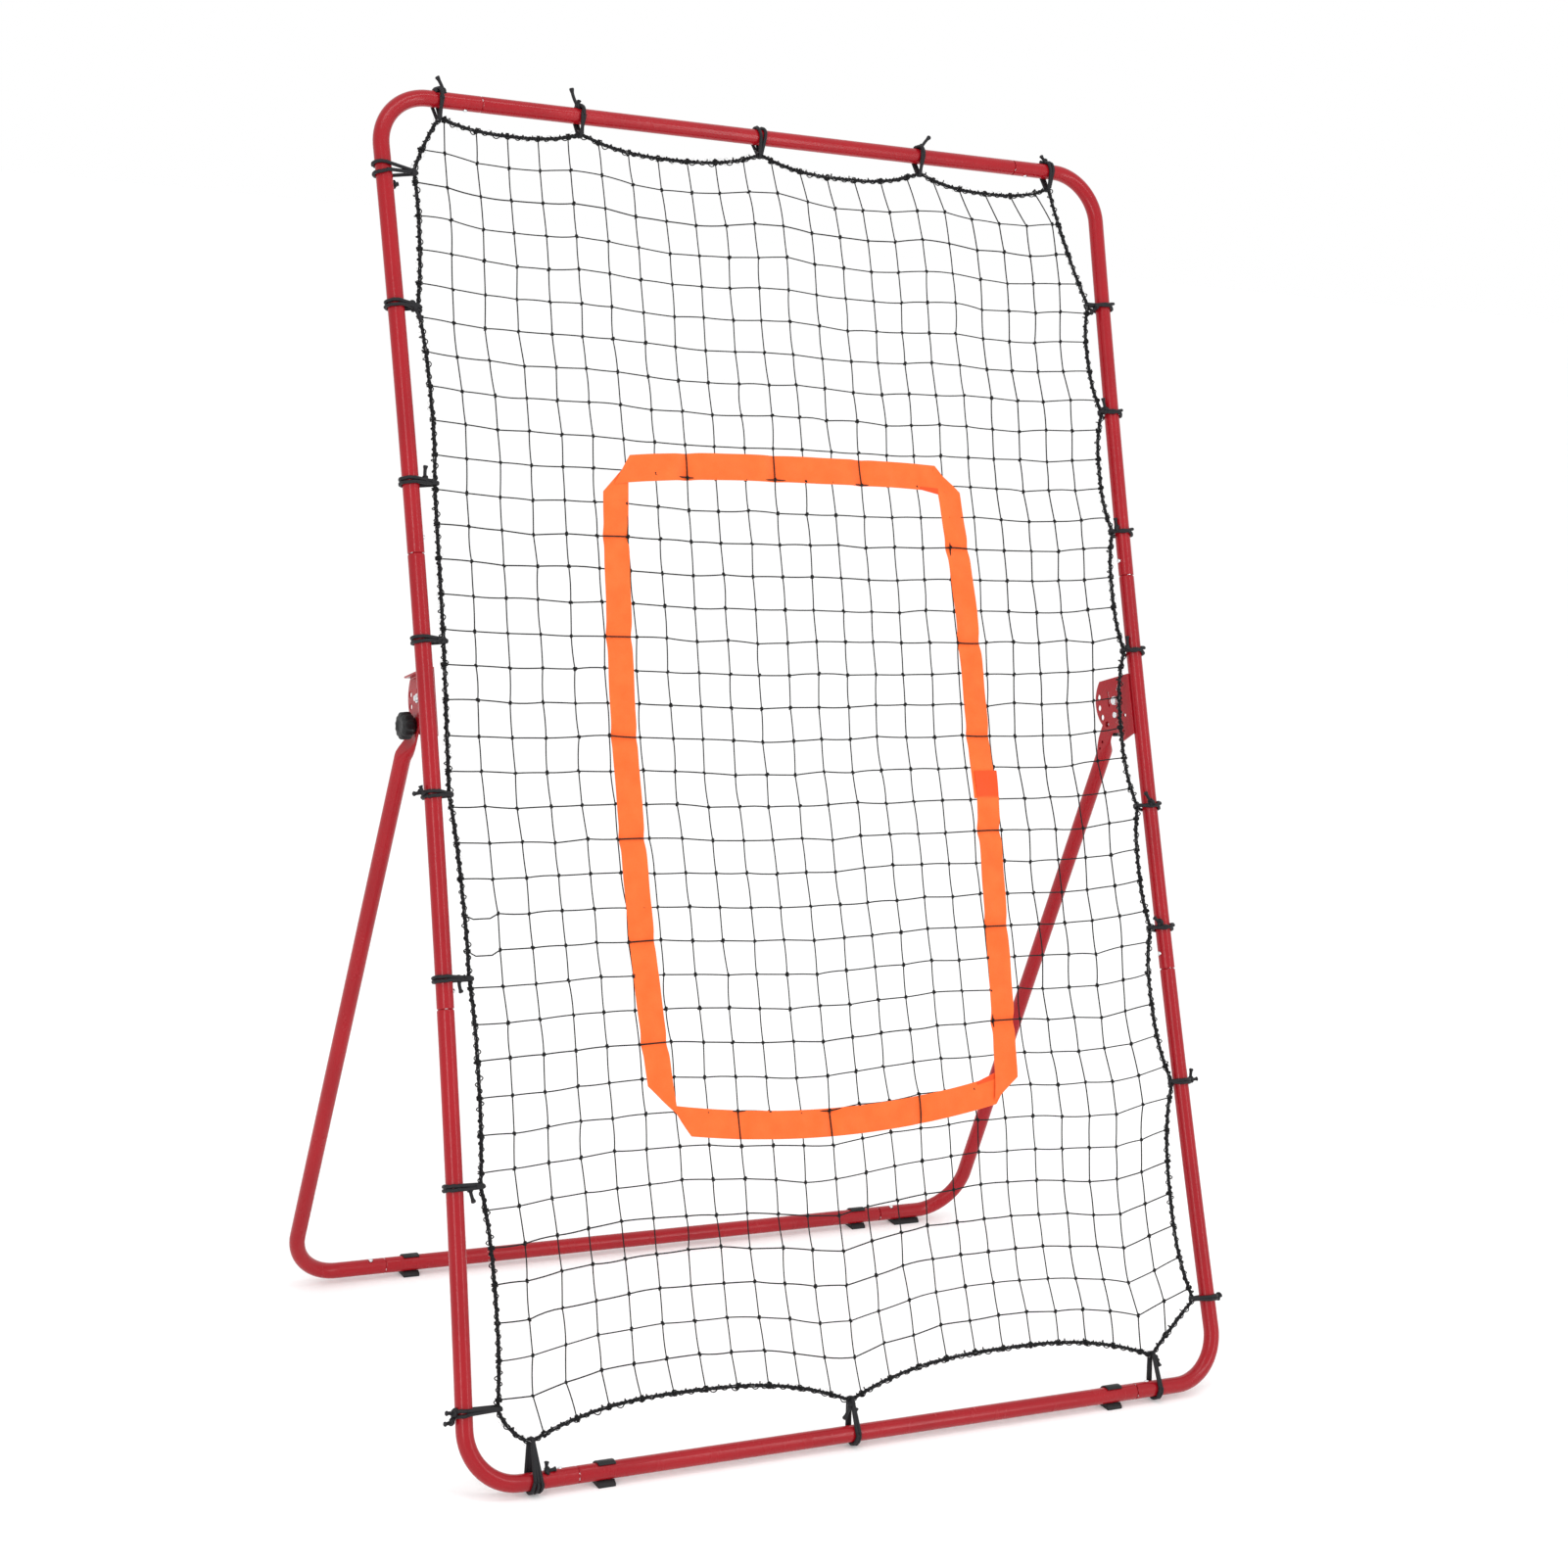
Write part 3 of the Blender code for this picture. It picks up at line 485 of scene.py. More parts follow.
def orange_webbing():
    """Bright woven polyester ribbon: fine cross weave, cloudy tone, and painted shade where it lies double,
    standing in for less light shining through two thicknesses.
    """
    nodes = Nodes("orange_webbing")
    shader = nodes.shader
    across = nodes.math("MULTIPLY", nodes.along(0), 2 * math.pi / 0.0011)
    along = nodes.math("MULTIPLY", nodes.along(1), 2 * math.pi / 0.0009)
    warp = nodes.math("SINE", across)
    weft = nodes.math("SINE", along)
    weave = nodes.math("MULTIPLY", warp, weft)
    cloud = nodes.ramp(nodes.noise(38.0, 4.0), 0.3, 0.7, 0.0, 1.0)
    colour = nodes.mix(cloud, (0.88, 0.122, 0.018), (0.95, 0.150, 0.028))
    thread = nodes.ramp(weave, -1.0, 1.0, 0.0, 0.22)
    colour = nodes.mix(thread, colour, (0.80, 0.12, 0.018))
    # Painted shade: the ribbon is darker where it lies double, in place of the light that shines less through two
    # thicknesses.
    shade_where_doubled = nodes.add("ShaderNodeAttribute", {"attribute_name": "doubled_shade"}).outputs["Fac"]
    colour = nodes.mix(nodes.math("MULTIPLY", shade_where_doubled, 0.85), colour, (0.74, 0.060, 0.008))
    nodes.feed(shader.inputs["Base Color"], colour)
    nodes.feed(shader.inputs["Roughness"], nodes.ramp(nodes.noise(500.0, 3.0), 0.3, 0.7, 0.62, 0.80))
    wrinkle = nodes.bump(nodes.noise(60.0, 4.0), 0.0011)
    nodes.feed(shader.inputs["Normal"], nodes.bump(weave, 0.00005, wrinkle))
    shader.inputs["Sheen Weight"].default_value = 0.25
    shader.inputs["Sheen Roughness"].default_value = 0.4
    shader.inputs["Specular IOR Level"].default_value = 0.25
    return nodes.material


MATERIALS = {
    "red_powder_coat": powder_coat(),
    "zinc_steel": zinc_plate(),
    "black_plastic": moulded_plastic(),
    "twine": braided_cord(
        "black_twine", (0.003, 0.003, 0.003), (0.012, 0.012, 0.013), 2, 0.0032, 0.00012, 0.62
    ),
    "fibre": loose_fibre(),
    "rope": braided_cord(
        "black_rope", (0.003, 0.003, 0.004), (0.018, 0.018, 0.020), 3, 0.0050, 0.00022, 0.72
    ),
    "elastic": braided_cord(
        "black_elastic", (0.005, 0.005, 0.006), (0.022, 0.022, 0.025), 6, 0.0042, 0.00016, 0.48
    ),
    "orange_webbing": orange_webbing(),
}


# ---------------------------------------------------------------- mesh helpers

class Shape:
    """Points and faces gathered for one piece, with a place round and along for every face corner."""

    def __init__(self):
        self.points = []
        self.faces = []
        self.places = []
        # Painted shade for each point where the ribbon lies double, and zero on every other piece.
        self.doubled_shade = []
        self.count = 0

    def add(self, points, faces, places, doubled_shade=None):
        self.points.append(np.asarray(points, float).reshape(-1, 3))
        self.faces.extend((np.asarray(faces) + self.count).tolist())
        self.places.append(np.asarray(places, float).reshape(-1, 2))
        self.doubled_shade.append(np.zeros(len(self.points[-1])) if doubled_shade is None else np.asarray(doubled_shade, float))
        self.count += len(self.points[-1])

    def add_polygons(self, points, faces, places):
        """Faces with any number of corners. Places holds one pair for each face corner."""
        self.points.append(points)
        self.faces.extend([[index + self.count for index in face] for face in faces])
        self.places.append(places)
        self.doubled_shade.append(np.zeros(len(points)))
        self.count += len(points)

    def build(self, name, material, body, replaces=(), sharp=None):
        """The piece as an object that rides on a body."""
        mesh = bpy.data.meshes.new(name)
        mesh.from_pydata(np.concatenate(self.points).tolist(), [], self.faces)
        uv = mesh.uv_layers.new(name="cord")
        uv.data.foreach_set("uv", np.concatenate(self.places).astype(np.float32).ravel())
        doubled_shade = np.concatenate(self.doubled_shade)
        # Points where the ribbon lies double carry painted shade for its material.
        if doubled_shade.any():
            mesh.attributes.new("doubled_shade", "FLOAT", "POINT").data.foreach_set("value", doubled_shade.astype(np.float32))
        mesh.shade_smooth()
        if sharp is not None:
            mesh.set_sharp_from_angle(angle=math.radians(sharp))
        return finish_piece(name, mesh, material, body, replaces)


def finish_piece(name, mesh, material, body, replaces):
    mesh.materials.append(MATERIALS[material])
    piece = bpy.data.objects.new(name, mesh)
    bpy.context.scene.collection.objects.link(piece)
    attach(piece, body)
    if replaces:
        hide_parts(*replaces)
    return piece


def lengths_along(path):
    steps = np.linalg.norm(np.diff(path, axis=0), axis=1)
    return np.concatenate(([0.0], np.cumsum(steps)))


def frames_along(path, closed, first=None):
    """The tangent and two crosswise directions at each point of a path, with as little twist as possible."""
    if closed:
        tangents = np.roll(path, -1, 0) - np.roll(path, 1, 0)
    else:
        tangents = np.gradient(path, axis=0)
    tangents = tangents / np.linalg.norm(tangents, axis=1, keepdims=True)
    normal = first if first is not None else np.eye(3)[np.argmin(np.abs(tangents[0]))]
    normals = np.empty_like(path)
    for index, tangent in enumerate(tangents):
        normal = unit(normal - tangent * np.dot(normal, tangent))
        normals[index] = normal
    others = np.cross(tangents, normals)
    if closed:
        ended = unit(normal - tangents[0] * np.dot(normal, tangents[0]))
        slip = math.atan2(np.dot(ended, others[0]), np.dot(ended, normals[0]))
        turn = (-slip * np.arange(len(path)) / len(path))[:, None]
        normals, others = (
            normals * np.cos(turn) + others * np.sin(turn),
            others * np.cos(turn) - normals * np.sin(turn),
        )
    return tangents, normals, others


def skin(shape, rings, along, closed_length=None, doubled_shade=None):
    """A skin through rings of points, capped at both ends unless closed_length leads back to the start."""
    rings = np.asarray(rings, float)
    count, sides = rings.shape[:2]
    last = count if closed_length is not None else count - 1
    start = np.arange(last)[:, None] * sides
    after = (np.arange(last)[:, None] + 1) % count * sides
    step = np.arange(sides)[None, :]
    beside = (step + 1) % sides
    faces = np.stack([start + step, start + beside, after + beside, after + step], axis=-1).reshape(-1, 4)
    ends = np.append(along, along[-1] + closed_length) if closed_length is not None else np.asarray(along)
    low = np.broadcast_to(ends[:last, None], (last, sides))
    high = np.broadcast_to(ends[1:last + 1, None], (last, sides))
    left = np.broadcast_to(step / sides, (last, sides))
    right = left + 1 / sides
    places = np.stack([left, low, right, low, right, high, left, high], axis=-1).reshape(-1, 2)
    shape.add(rings.reshape(-1, 3), faces, places, doubled_shade)
    if closed_length is None:
        for number, flip in ((0, True), (count - 1, False)):
            cap(shape, rings[number], ends[number], flip)


def cap(shape, ring, along, flip):
    """Closes one end with a fan of triangles."""
    sides = len(ring)
    points = np.concatenate((ring, ring.mean(0)[None]))
    step = np.arange(sides)
    beside = (step + 1) % sides
    order = (beside, step) if flip else (step, beside)
    faces = np.stack([order[0], order[1], np.full(sides, sides)], axis=-1)
    places = np.tile((0.5, along), (sides * 3, 1))
    shape.add(points, faces, places)


def cord(shape, path, radius, sides, closed=False):
    """A round cord along a path. The radius is one number, or one for each point."""
    path = np.asarray(path, float)
    _, normals, others = frames_along(path, closed)
    angles = 2 * np.pi * np.arange(sides) / sides
    radii = np.broadcast_to(radius, len(path))[:, None, None]
    rings = path[:, None] + radii * (
        np.cos(angles)[None, :, None] * normals[:, None] + np.sin(angles)[None, :, None] * others[:, None]
    )
    back = float(np.linalg.norm(path[0] - path[-1])) if closed else None
    skin(shape, rings, lengths_along(path), back)


def smooth_path(points, step, closed=False):
    """Points a step apart on a curve through the given points."""
    points = np.asarray(points, float)
    if closed:
        around = np.concatenate((points[-1:], points, points[:2]))
    else:
        around = np.concatenate((2 * points[:1] - points[1:2], points, 2 * points[-1:] - points[-2:-1]))
    found = []
    for index in range(1, len(around) - 2):
        a, b, c, d = around[index - 1:index + 3]
        count = max(2, int(round(np.linalg.norm(c - b) / step)))
        t = (np.arange(count) / count)[:, None]
        found.append(
            0.5 * (2 * b + (c - a) * t + (2 * a - 5 * b + 4 * c - d) * t**2 + (3 * b - a - 3 * c + d) * t**3)
        )
    if not closed:
        found.append(points[-1:])
    return np.concatenate(found)


# ---------------------------------------------------------------- border rope and net

def tie_place(name):
    """(x, height) on the tube's centre line where a tie goes round it."""
    low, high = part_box(name)
    centre = np.array((low + high) / 2)
    if "top" in name:
        return centre[0], FRAME_HEIGHT
    if "bottom" in name:
        return centre[0], 0.0
    height = float(np.dot(centre - FRAME_FOOT, UP))
    return math.copysign(side_x(height), centre[0]), height


def rope_place(name):
    """(x, height) of the border rope's centre where a tie holds it."""
    x, height = tie_place(name)
    side, number = name.split("_")[1:]
    inset = ROPE_INSETS[side][int(number) - 1]
    if side == "top":
        return x, height - inset
    if side == "bottom":
        return x, height + inset
    return x - math.copysign(inset, x), height


def tie_names():
    return [
        f"tie_{side}_{number}"
        for side, insets in ROPE_INSETS.items()
        for number in range(1, len(insets) + 1)
    ]


def rope_path():
    """(x, height) points round the border rope, which hangs slack between its ties."""
    names = tie_names()
    sags = [sag for side in ROPE_SAGS.values() for sag in side]
    points = []
    for name, after, sag in zip(names, names[1:] + names[:1], sags):
        start, end = np.array(rope_place(name)), np.array(rope_place(after))
        way = unit(end - start)
        inwards = np.array((way[1], -way[0]))
        part = np.linspace(0, 1, max(8, int(np.linalg.norm(end - start) / 0.006)), endpoint=False)[:, None]
        points.append(start + (end - start) * part + inwards * sag * (1 - np.abs(2 * part - 1) ** ROPE_FLATNESS))
    return np.concatenate(points)


def rope_at(wanted, axis, side):
    """The rope's other coordinate where its x (axis 0) or height (axis 1) is the wanted one, on one side."""
    beyond = {
        "top": ROPE[:, 1] > 1.6,
        "bottom": ROPE[:, 1] < 0.15,
        "left": ROPE[:, 0] < -0.47,
        "right": ROPE[:, 0] > 0.44,
    }
    part = ROPE[beyond[side]]
    order = np.argsort(part[:, axis])
    return np.interp(wanted, part[order, axis], part[order, 1 - axis])


def settle(edge, sideways, load):
    """Knot values where four neighbours pull each evenly, under this sideways pull and load."""
    size = COLUMNS * ROWS
    pulls = np.zeros((size, size))
    loads = np.full(size, load)
    for column in range(1, COLUMNS + 1):
        for row in range(1, ROWS + 1):
            here = (column - 1) * ROWS + row - 1
            pulls[here, here] = 2 + 2 * sideways
            for other, beside, pull in (
                (column, row - 1, 1.0),
                (column, row + 1, 1.0),
                (column - 1, row, sideways),
                (column + 1, row, sideways),
            ):
                if 1 <= other <= COLUMNS and 1 <= beside <= ROWS:
                    pulls[here, (other - 1) * ROWS + beside - 1] = -pull
                else:
                    loads[here] += pull * edge[other, beside]
    found = edge.copy()
    found[1:-1, 1:-1] = np.linalg.solve(pulls, loads).reshape(COLUMNS, ROWS)
    return found


def hang_net():
    """x, height and depth of every knot, by column and row. The first and last of each lie on the rope."""
    columns = np.arange(COLUMNS)
    rows = np.arange(ROWS)
    x = np.zeros((COLUMNS + 2, ROWS + 2))
    height = np.zeros_like(x)
    x[1:-1, 0] = TOP_COLUMN_X + TOP_COLUMN_STEP * columns
    x[1:-1, -1] = BOTTOM_COLUMN_X + BOTTOM_COLUMN_STEP * columns
    height[1:-1, 0] = rope_at(x[1:-1, 0], 0, "top")
    height[1:-1, -1] = rope_at(x[1:-1, -1], 0, "bottom")
    height[0, 1:-1] = LEFT_ROW_HEIGHT - LEFT_ROW_STEP * rows
    height[-1, 1:-1] = RIGHT_ROW_HEIGHT - RIGHT_ROW_STEP * rows
    for edge, side in ((0, "left"), (-1, "right")):
        ties = [rope_place(name)[1] for name in tie_names() if side in name]
        within = np.clip(height[edge, 1:-1], min(ties), max(ties))
        x[edge, 1:-1] = rope_at(within, 1, side)
    found = np.stack(
        (settle(x, WIDTH_PULL, 0.0), settle(height, HEIGHT_PULL, -NET_LOAD), settle(0 * x, HEIGHT_PULL, NET_BELLY)),
        axis=-1,
    )
    for edge, side in ((0, "left"), (-1, "right")):
        found[edge, 1:-1, 0] = rope_at(height[edge, 1:-1], 1, side)
    return found


def net_at(column, row):
    """(x, height, depth) at a place counted in columns and rows, also between knots. It takes arrays."""
    column, row = np.broadcast_arrays(np.asarray(column, float), np.asarray(row, float))
    c = np.clip(column.astype(int), 0, COLUMNS)
    r = np.clip(row.astype(int), 0, ROWS)
    u = (column - c)[..., None]
    v = (row - r)[..., None]
    return (
        NET[c, r] * (1 - u) * (1 - v)
        + NET[c + 1, r] * u * (1 - v)
        + NET[c, r + 1] * (1 - u) * v
        + NET[c + 1, r + 1] * u * v
    )


def twine_run(knots, droop):
    """Points along one string, which bows a little between its knots."""
    points = []
    for start, end in zip(knots[:-1], knots[1:]):
        bow = RANDOM.normal(0.0, TWINE_BOW, 3) + droop
        for part in np.arange(TWINE_STEPS) / TWINE_STEPS:
            points.append(start + (end - start) * part + bow * 4 * part * (1 - part))
    points.append(knots[-1])
    return np.array(points)


def build_net():
    """The strings across, the strings down and the knots where they cross."""
    knots = NET.copy()
    knots[1:-1, 1:-1] += RANDOM.normal(0.0, KNOT_SCATTER, (COLUMNS, ROWS, 3)) * (1, 1, 0.3)
    across = Shape()
    for row in range(1, ROWS + 1):
        run = knots[:, row].copy()
        run[:, 2] -= 0.0004
        path = twine_run(run, 0.0)
        if row in SLACK_ROWS:
            path[1:TWINE_STEPS, 1] -= 0.006
        cord(across, on_frame(path[:, 0], path[:, 1], path[:, 2]), TWINE_RADIUS, 6)
    across.build("net_rows", "twine", "frame", ("net_panel",))
    down = Shape()
    for column in range(1, COLUMNS + 1):
        run = knots[column].copy()
        run[:, 2] += 0.0004
        path = twine_run(run, 0.0)
        cord(down, on_frame(path[:, 0], path[:, 1], path[:, 2]), TWINE_RADIUS, 6)
    down.build("net_columns", "twine", "frame")
    turned_knots = Shape()
    for column in range(1, COLUMNS + 1):
        for row in range(1, ROWS + 1):
            centre = on_frame(*knots[column, row])
            add_knot(turned_knots, centre, KNOT_RADIUS * RANDOM.uniform(0.85, 1.2), TWINE_RADIUS * 1.3, 20, 5)
    turned_knots.build("net_knots", "twine", "frame")


def add_knot(shape, centre, size, radius, count, sides):
    """A small overhand knot, turned a random way."""
    t = 2 * np.pi * np.arange(count) / count
    loop = np.stack((np.sin(t) + 2 * np.sin(2 * t), np.cos(t) - 2 * np.cos(2 * t), -np.sin(3 * t)), axis=-1) / 2.6
    turn, _ = np.linalg.qr(np.array((BEHIND, UP, ACROSS)) + RANDOM.normal(0.0, 0.35, (3, 3)))
    cord(shape, centre + size * loop @ turn, radius, sides, closed=True)


def round_path(path):
    """Two crosswise directions along a closed path on the frame: inwards in its plane, and behind."""
    way = np.roll(path, -1, 0) - np.roll(path, 1, 0)
    way /= np.linalg.norm(way, axis=1, keepdims=True)
    return np.cross(way, BEHIND), np.broadcast_to(BEHIND, path.shape)


def resample(path, step):
    """Evenly spaced points round a closed path."""
    closed = np.concatenate((path, path[:1]))
    along = lengths_along(closed)
    count = int(along[-1] / step)
    wanted = np.arange(count) * along[-1] / count
    columns = [np.interp(wanted, along, closed[:, axis]) for axis in range(closed.shape[1])]
    return np.stack(columns, axis=-1), along[-1]


def build_border():
    """The three-strand rope, the twine that laces the net to it, a hitch at each string, and loose fibres."""
    path, length = resample(on_frame(ROPE[:, 0], ROPE[:, 1]), ROPE_PITCH / 11)
    for _ in range(4):
        path = (np.roll(path, 1, 0) + 2 * path + np.roll(path, -1, 0)) / 4
    side, behind = round_path(path)
    part = np.arange(len(path)) / len(path)
    turns = round(length / ROPE_PITCH)
    rope = Shape()
    for strand in range(3):
        phase = 2 * np.pi * (turns * part + strand / 3) + 0.5 * np.sin(2 * np.pi * 23 * part)
        reach = 1.12 * STRAND_RADIUS * (1 + 0.10 * np.sin(2 * np.pi * 61 * part + strand))
        winding = side * (reach * np.cos(phase))[:, None] + behind * (reach * np.sin(phase))[:, None]
        radius = STRAND_RADIUS * (1 + 0.07 * np.sin(2 * np.pi * 151 * part + 2 * strand))
        cord(rope, path + winding, radius, 7, closed=True)
    rope.build("border_rope_strands", "rope", "frame", ("border_rope",))

    lacing = Shape()
    fine, _ = resample(path, LACING_PITCH / 11)
    side, behind = round_path(fine)
    part = np.arange(len(fine)) / len(fine)
    phase = 2 * np.pi * round(length / LACING_PITCH) * part + 0.9 * np.sin(2 * np.pi * 37 * part)
    loops = np.sin(2 * np.pi * 83 * part) ** 4 * (1 + np.sin(2 * np.pi * 29 * part))
    reach = ROPE_RADIUS + 0.0010 + 0.0011 * loops
    winding = side * (reach * np.cos(phase))[:, None] + behind * (reach * np.sin(phase))[:, None]
    cord(lacing, fine + winding, LACING_RADIUS, 5, closed=True)
    ends = np.concatenate((NET[1:-1, 0], NET[1:-1, -1], NET[0, 1:-1], NET[-1, 1:-1]))
    for x, height, depth in ends:
        near = int(np.argmin(np.linalg.norm(fine - on_frame(x, height, depth), axis=1)))
        add_hitch(lacing, fine, side, behind, near)
    lacing.build("border_lacing", "twine", "frame")

    fibres = Shape()
    for place in RANDOM.uniform(0, len(path), FIBRES).astype(int):
        add_fibre(fibres, path[place], path[(place + 3) % len(path)] - path[place])
    fibres.build("border_fibres", "fibre", "frame")


def add_hitch(shape, path, side, behind, near):
    """Twine wound round the rope in two close turns, with a small knot on it."""
    steps = 20
    places = (near + np.round(np.linspace(-2, 2, steps)).astype(int)) % len(path)
    along = np.linspace(-0.0022, 0.0022, steps)[:, None] * unit(path[(near + 1) % len(path)] - path[near - 1])
    phase = RANDOM.uniform(0, 2 * np.pi) + np.linspace(0, 4 * np.pi, steps)
    reach = ROPE_RADIUS + 0.0013
    coil = side[places] * (reach * np.cos(phase))[:, None] + behind[places] * (reach * np.sin(phase))[:, None]
    cord(shape, path[near] + along + coil, LACING_RADIUS * 1.1, 5)
    middle_coil = path[near] + coil[steps // 2]
    add_knot(shape, middle_coil, 0.0016, LACING_RADIUS, 18, 5)


def add_fibre(shape, place, way):
    """One fine loose fibre that springs from the rope and curls back."""
    out = RANDOM.normal(0.0, 1.0, 3)
    out = unit(out - unit(way) * np.dot(out, unit(way)))
    lean = unit(way) * RANDOM.uniform(-1.0, 1.0)
    reach = RANDOM.uniform(0.0022, 0.0058)
    root = place + out * (ROPE_RADIUS * 0.85)
    points = [root, root + out * reach * 0.6 + lean * reach * 0.4, root + out * reach * 0.75 + lean * reach * 1.5]
    cord(shape, smooth_path(points, reach / 3), FIBRE_RADIUS, 3)


# ---------------------------------------------------------------- strike-zone ribbon

def zone_part(height):
    return (height - ZONE_BOTTOM) / (ZONE_TOP - ZONE_BOTTOM)


def zone_left(height):
    """X of the left run's middle line."""
    part = zone_part(height)
    return ZONE_LEFT - ZONE_LEFT_BOW * 4 * part * (1 - part)


def zone_right(height):
    return ZONE_RIGHT + ZONE_RIGHT_BOW * (1 - np.abs(2 * zone_part(height) - 1) ** 4)


def zone_top(x):
    """Height of the top run's middle line, which droops most at its left end."""
    return ZONE_TOP - 0.011 * np.abs((x - 0.05) / 0.30) ** 3


def zone_bottom(x):
    return ZONE_BOTTOM + 0.020 * ((x + 0.02) / 0.24) ** 2


def upright_run(low, high, line):
    height = np.linspace(high, low, 200)
    return np.stack((line(height), height), axis=-1)


def level_run(line):
    reach = RIBBON_WIDTH / 2
    x = np.linspace(ZONE_LEFT - reach, ZONE_RIGHT + reach, 200)
    return np.stack((x, line(x)), axis=-1)


def ribbon_strip(shape, path, outer_side, first_cut, last_cut, lift, shift=None, shade_where_doubled=None):
    """One run of ribbon along a path of (x, height) points.

    outer_side is 1 if its outer edge is to the left of the way it runs, and -1 if it is to the right. Each cut is
    (across, along): how far the run's chamfered end slopes back. lift is how far in front of its usual place it
    lies near its ends, shift moves it outwards, and shade_where_doubled says where it lies on another layer and
    takes painted shade.
    """
    along = lengths_along(path)
    way = np.gradient(path, axis=0)
    way /= np.linalg.norm(way, axis=1, keepdims=True)
    outwards = outer_side * np.stack((-way[:, 1], way[:, 0]), axis=-1)
    level = abs(way[0, 0]) > 0.5
    if level:
        counts = np.arange(COLUMNS + 2)
        beside = 9.5 if path[0, 1] > 1 else 29.5
        strings = COLUMNS_IN_FRONT
    else:
        counts = np.arange(ROWS + 2)
        beside = 5.5 if path[0, 0] < 0 else 17.5
        strings = ROWS_IN_FRONT
    points = []
    places = []
    shade_marks = []
    for offset in np.linspace(-0.5, 0.5, RIBBON_ACROSS + 1):
        from_outer = (0.5 - offset) * RIBBON_WIDTH
        start = max(0.0, first_cut[1] * (1 - from_outer / first_cut[0]))
        end = along[-1] - max(0.0, last_cut[1] * (1 - from_outer / last_cut[0]))
        wanted = np.linspace(start, end, int(along[-1] / RIBBON_STEP) + 1)
        aside = offset * RIBBON_WIDTH + (shift(wanted) if shift else 0.0)
        x, height = (
            np.interp(wanted, along, path[:, axis]) + np.interp(wanted, along, outwards[:, axis]) * aside
            for axis in (0, 1)
        )
        if level:
            line = net_at(counts, beside - (height.mean() - path[:, 1].mean()) / MESH)
            count_here = np.interp(x, line[:, 0], counts)
        else:
            line = net_at(beside + (x.mean() - path[:, 0].mean()) / MESH, counts)
            count_here = np.interp(-height, -line[:, 1], counts)
        depth = np.interp(count_here, counts, line[:, 2])
        near = np.zeros(len(wanted))
        for string in strings:
            near += np.exp(-(((count_here - string) / 0.24) ** 2))
        from_end = np.minimum(wanted, along[-1] - wanted)
        raised = RIBBON_IN_FRONT + lift * np.exp(-((from_end / RAISED_LENGTH) ** 4))
        behind = depth - raised + (raised + RIBBON_BEHIND) * near
        crease = np.abs(count_here - np.round(count_here))
        behind -= 0.00035 * (1 - near) * np.exp(-((crease / 0.045) ** 2))
        place = x if level else height
        behind += (1 - near) * RIBBON_CUP * (4 * offset**2) * np.cos(2 * np.pi * place / 0.31)
        behind += (1 - near) * 0.0005 * np.sin(2 * np.pi * place / 0.083 + 5 * offset)
        points.append(on_frame(x, height, behind))
        places.append(np.stack((np.full(len(wanted), offset * RIBBON_WIDTH), wanted), axis=-1))
        shade_marks.append(np.zeros(len(wanted)) if shade_where_doubled is None else shade_where_doubled(wanted))
    add_sheet(shape, np.array(points), np.array(places), np.array(shade_marks))


def add_sheet(shape, points, places, shade_marks):
    """A thin closed sheet through a grid of points, half its thickness to each side."""
    wide, long = points.shape[:2]
    du = np.gradient(points, axis=0)
    dv = np.gradient(points, axis=1)
    normal = np.cross(du, dv)
    normal /= np.linalg.norm(normal, axis=-1, keepdims=True)
    index = np.arange(wide * long).reshape(wide, long)
    quads = np.stack((index[:-1, :-1], index[1:, :-1], index[1:, 1:], index[:-1, 1:]), axis=-1).reshape(-1, 4)
    edge = np.concatenate((index[:-1, 0], index[-1, :-1], index[:0:-1, -1], index[0, :0:-1]))
    after = np.roll(edge, -1)
    far = wide * long
    sides = np.stack((edge, edge + far, after + far, after), axis=-1)
    faces = np.concatenate((quads[:, ::-1] + far, quads, sides))
    both = np.concatenate((places.reshape(-1, 2), places.reshape(-1, 2)))
    half = RIBBON_THICKNESS / 2
    shape.add(
        np.concatenate(((points - half * normal).reshape(-1, 3), (points + half * normal).reshape(-1, 3))),
        faces,
        both[faces.reshape(-1)],
        np.concatenate((shade_marks.ravel(), shade_marks.ravel())),
    )


def build_ribbon():
    """The ribbon round the strike zone: its runs, folded over each other at the corners."""
    shape = Shape()
    reach = RIBBON_WIDTH / 2
    low_left = float(zone_bottom(ZONE_LEFT)) - reach
    low_right = float(zone_bottom(ZONE_RIGHT)) - reach
    high_left = float(zone_top(ZONE_LEFT)) + reach
    high_right = float(zone_top(ZONE_RIGHT)) + reach
    cuts = RIBBON_CUTS
    turned_cuts = {name: cut[::-1] for name, cut in cuts.items()}
    square = (0.001, 0.0)
    ribbon_strip(shape, level_run(zone_top), 1, turned_cuts["top_left"], turned_cuts["top_right"], 0.0009)
    low_cuts = turned_cuts["bottom_left"], turned_cuts["bottom_right"]
    ribbon_strip(shape, level_run(zone_bottom), -1, *low_cuts, 0.0006)
    left = upright_run(low_left, high_left, zone_left)
    ribbon_strip(shape, left, -1, cuts["top_left"], cuts["bottom_left"], 0.0)
    upper = upright_run(UPPER_RUN_BOTTOM, high_right, zone_right)
    ribbon_strip(shape, upper, 1, cuts["top_right"], square, 0.0016)
    lower = upright_run(low_right, LOWER_RUN_TOP, zone_right)
    overlap = LOWER_RUN_TOP - UPPER_RUN_BOTTOM
    ribbon_strip(
        shape,
        lower,
        1,
        square,
        cuts["bottom_right"],
        0.0026,
        shift=lambda along: OVERLAP_SHIFT * np.exp(-((along / 0.16) ** 2)),
        # Painted shade on the end of this run that overlaps the upper run.
        shade_where_doubled=lambda along: np.clip((overlap - along) / 0.003, 0, 1),
    )
    add_flap(shape, zone_top, -1)
    add_flap(shape, zone_bottom, 1)
    piece = shape.build("zone_ribbon", "orange_webbing", "frame", ("strike_zone_ribbon",), sharp=40)


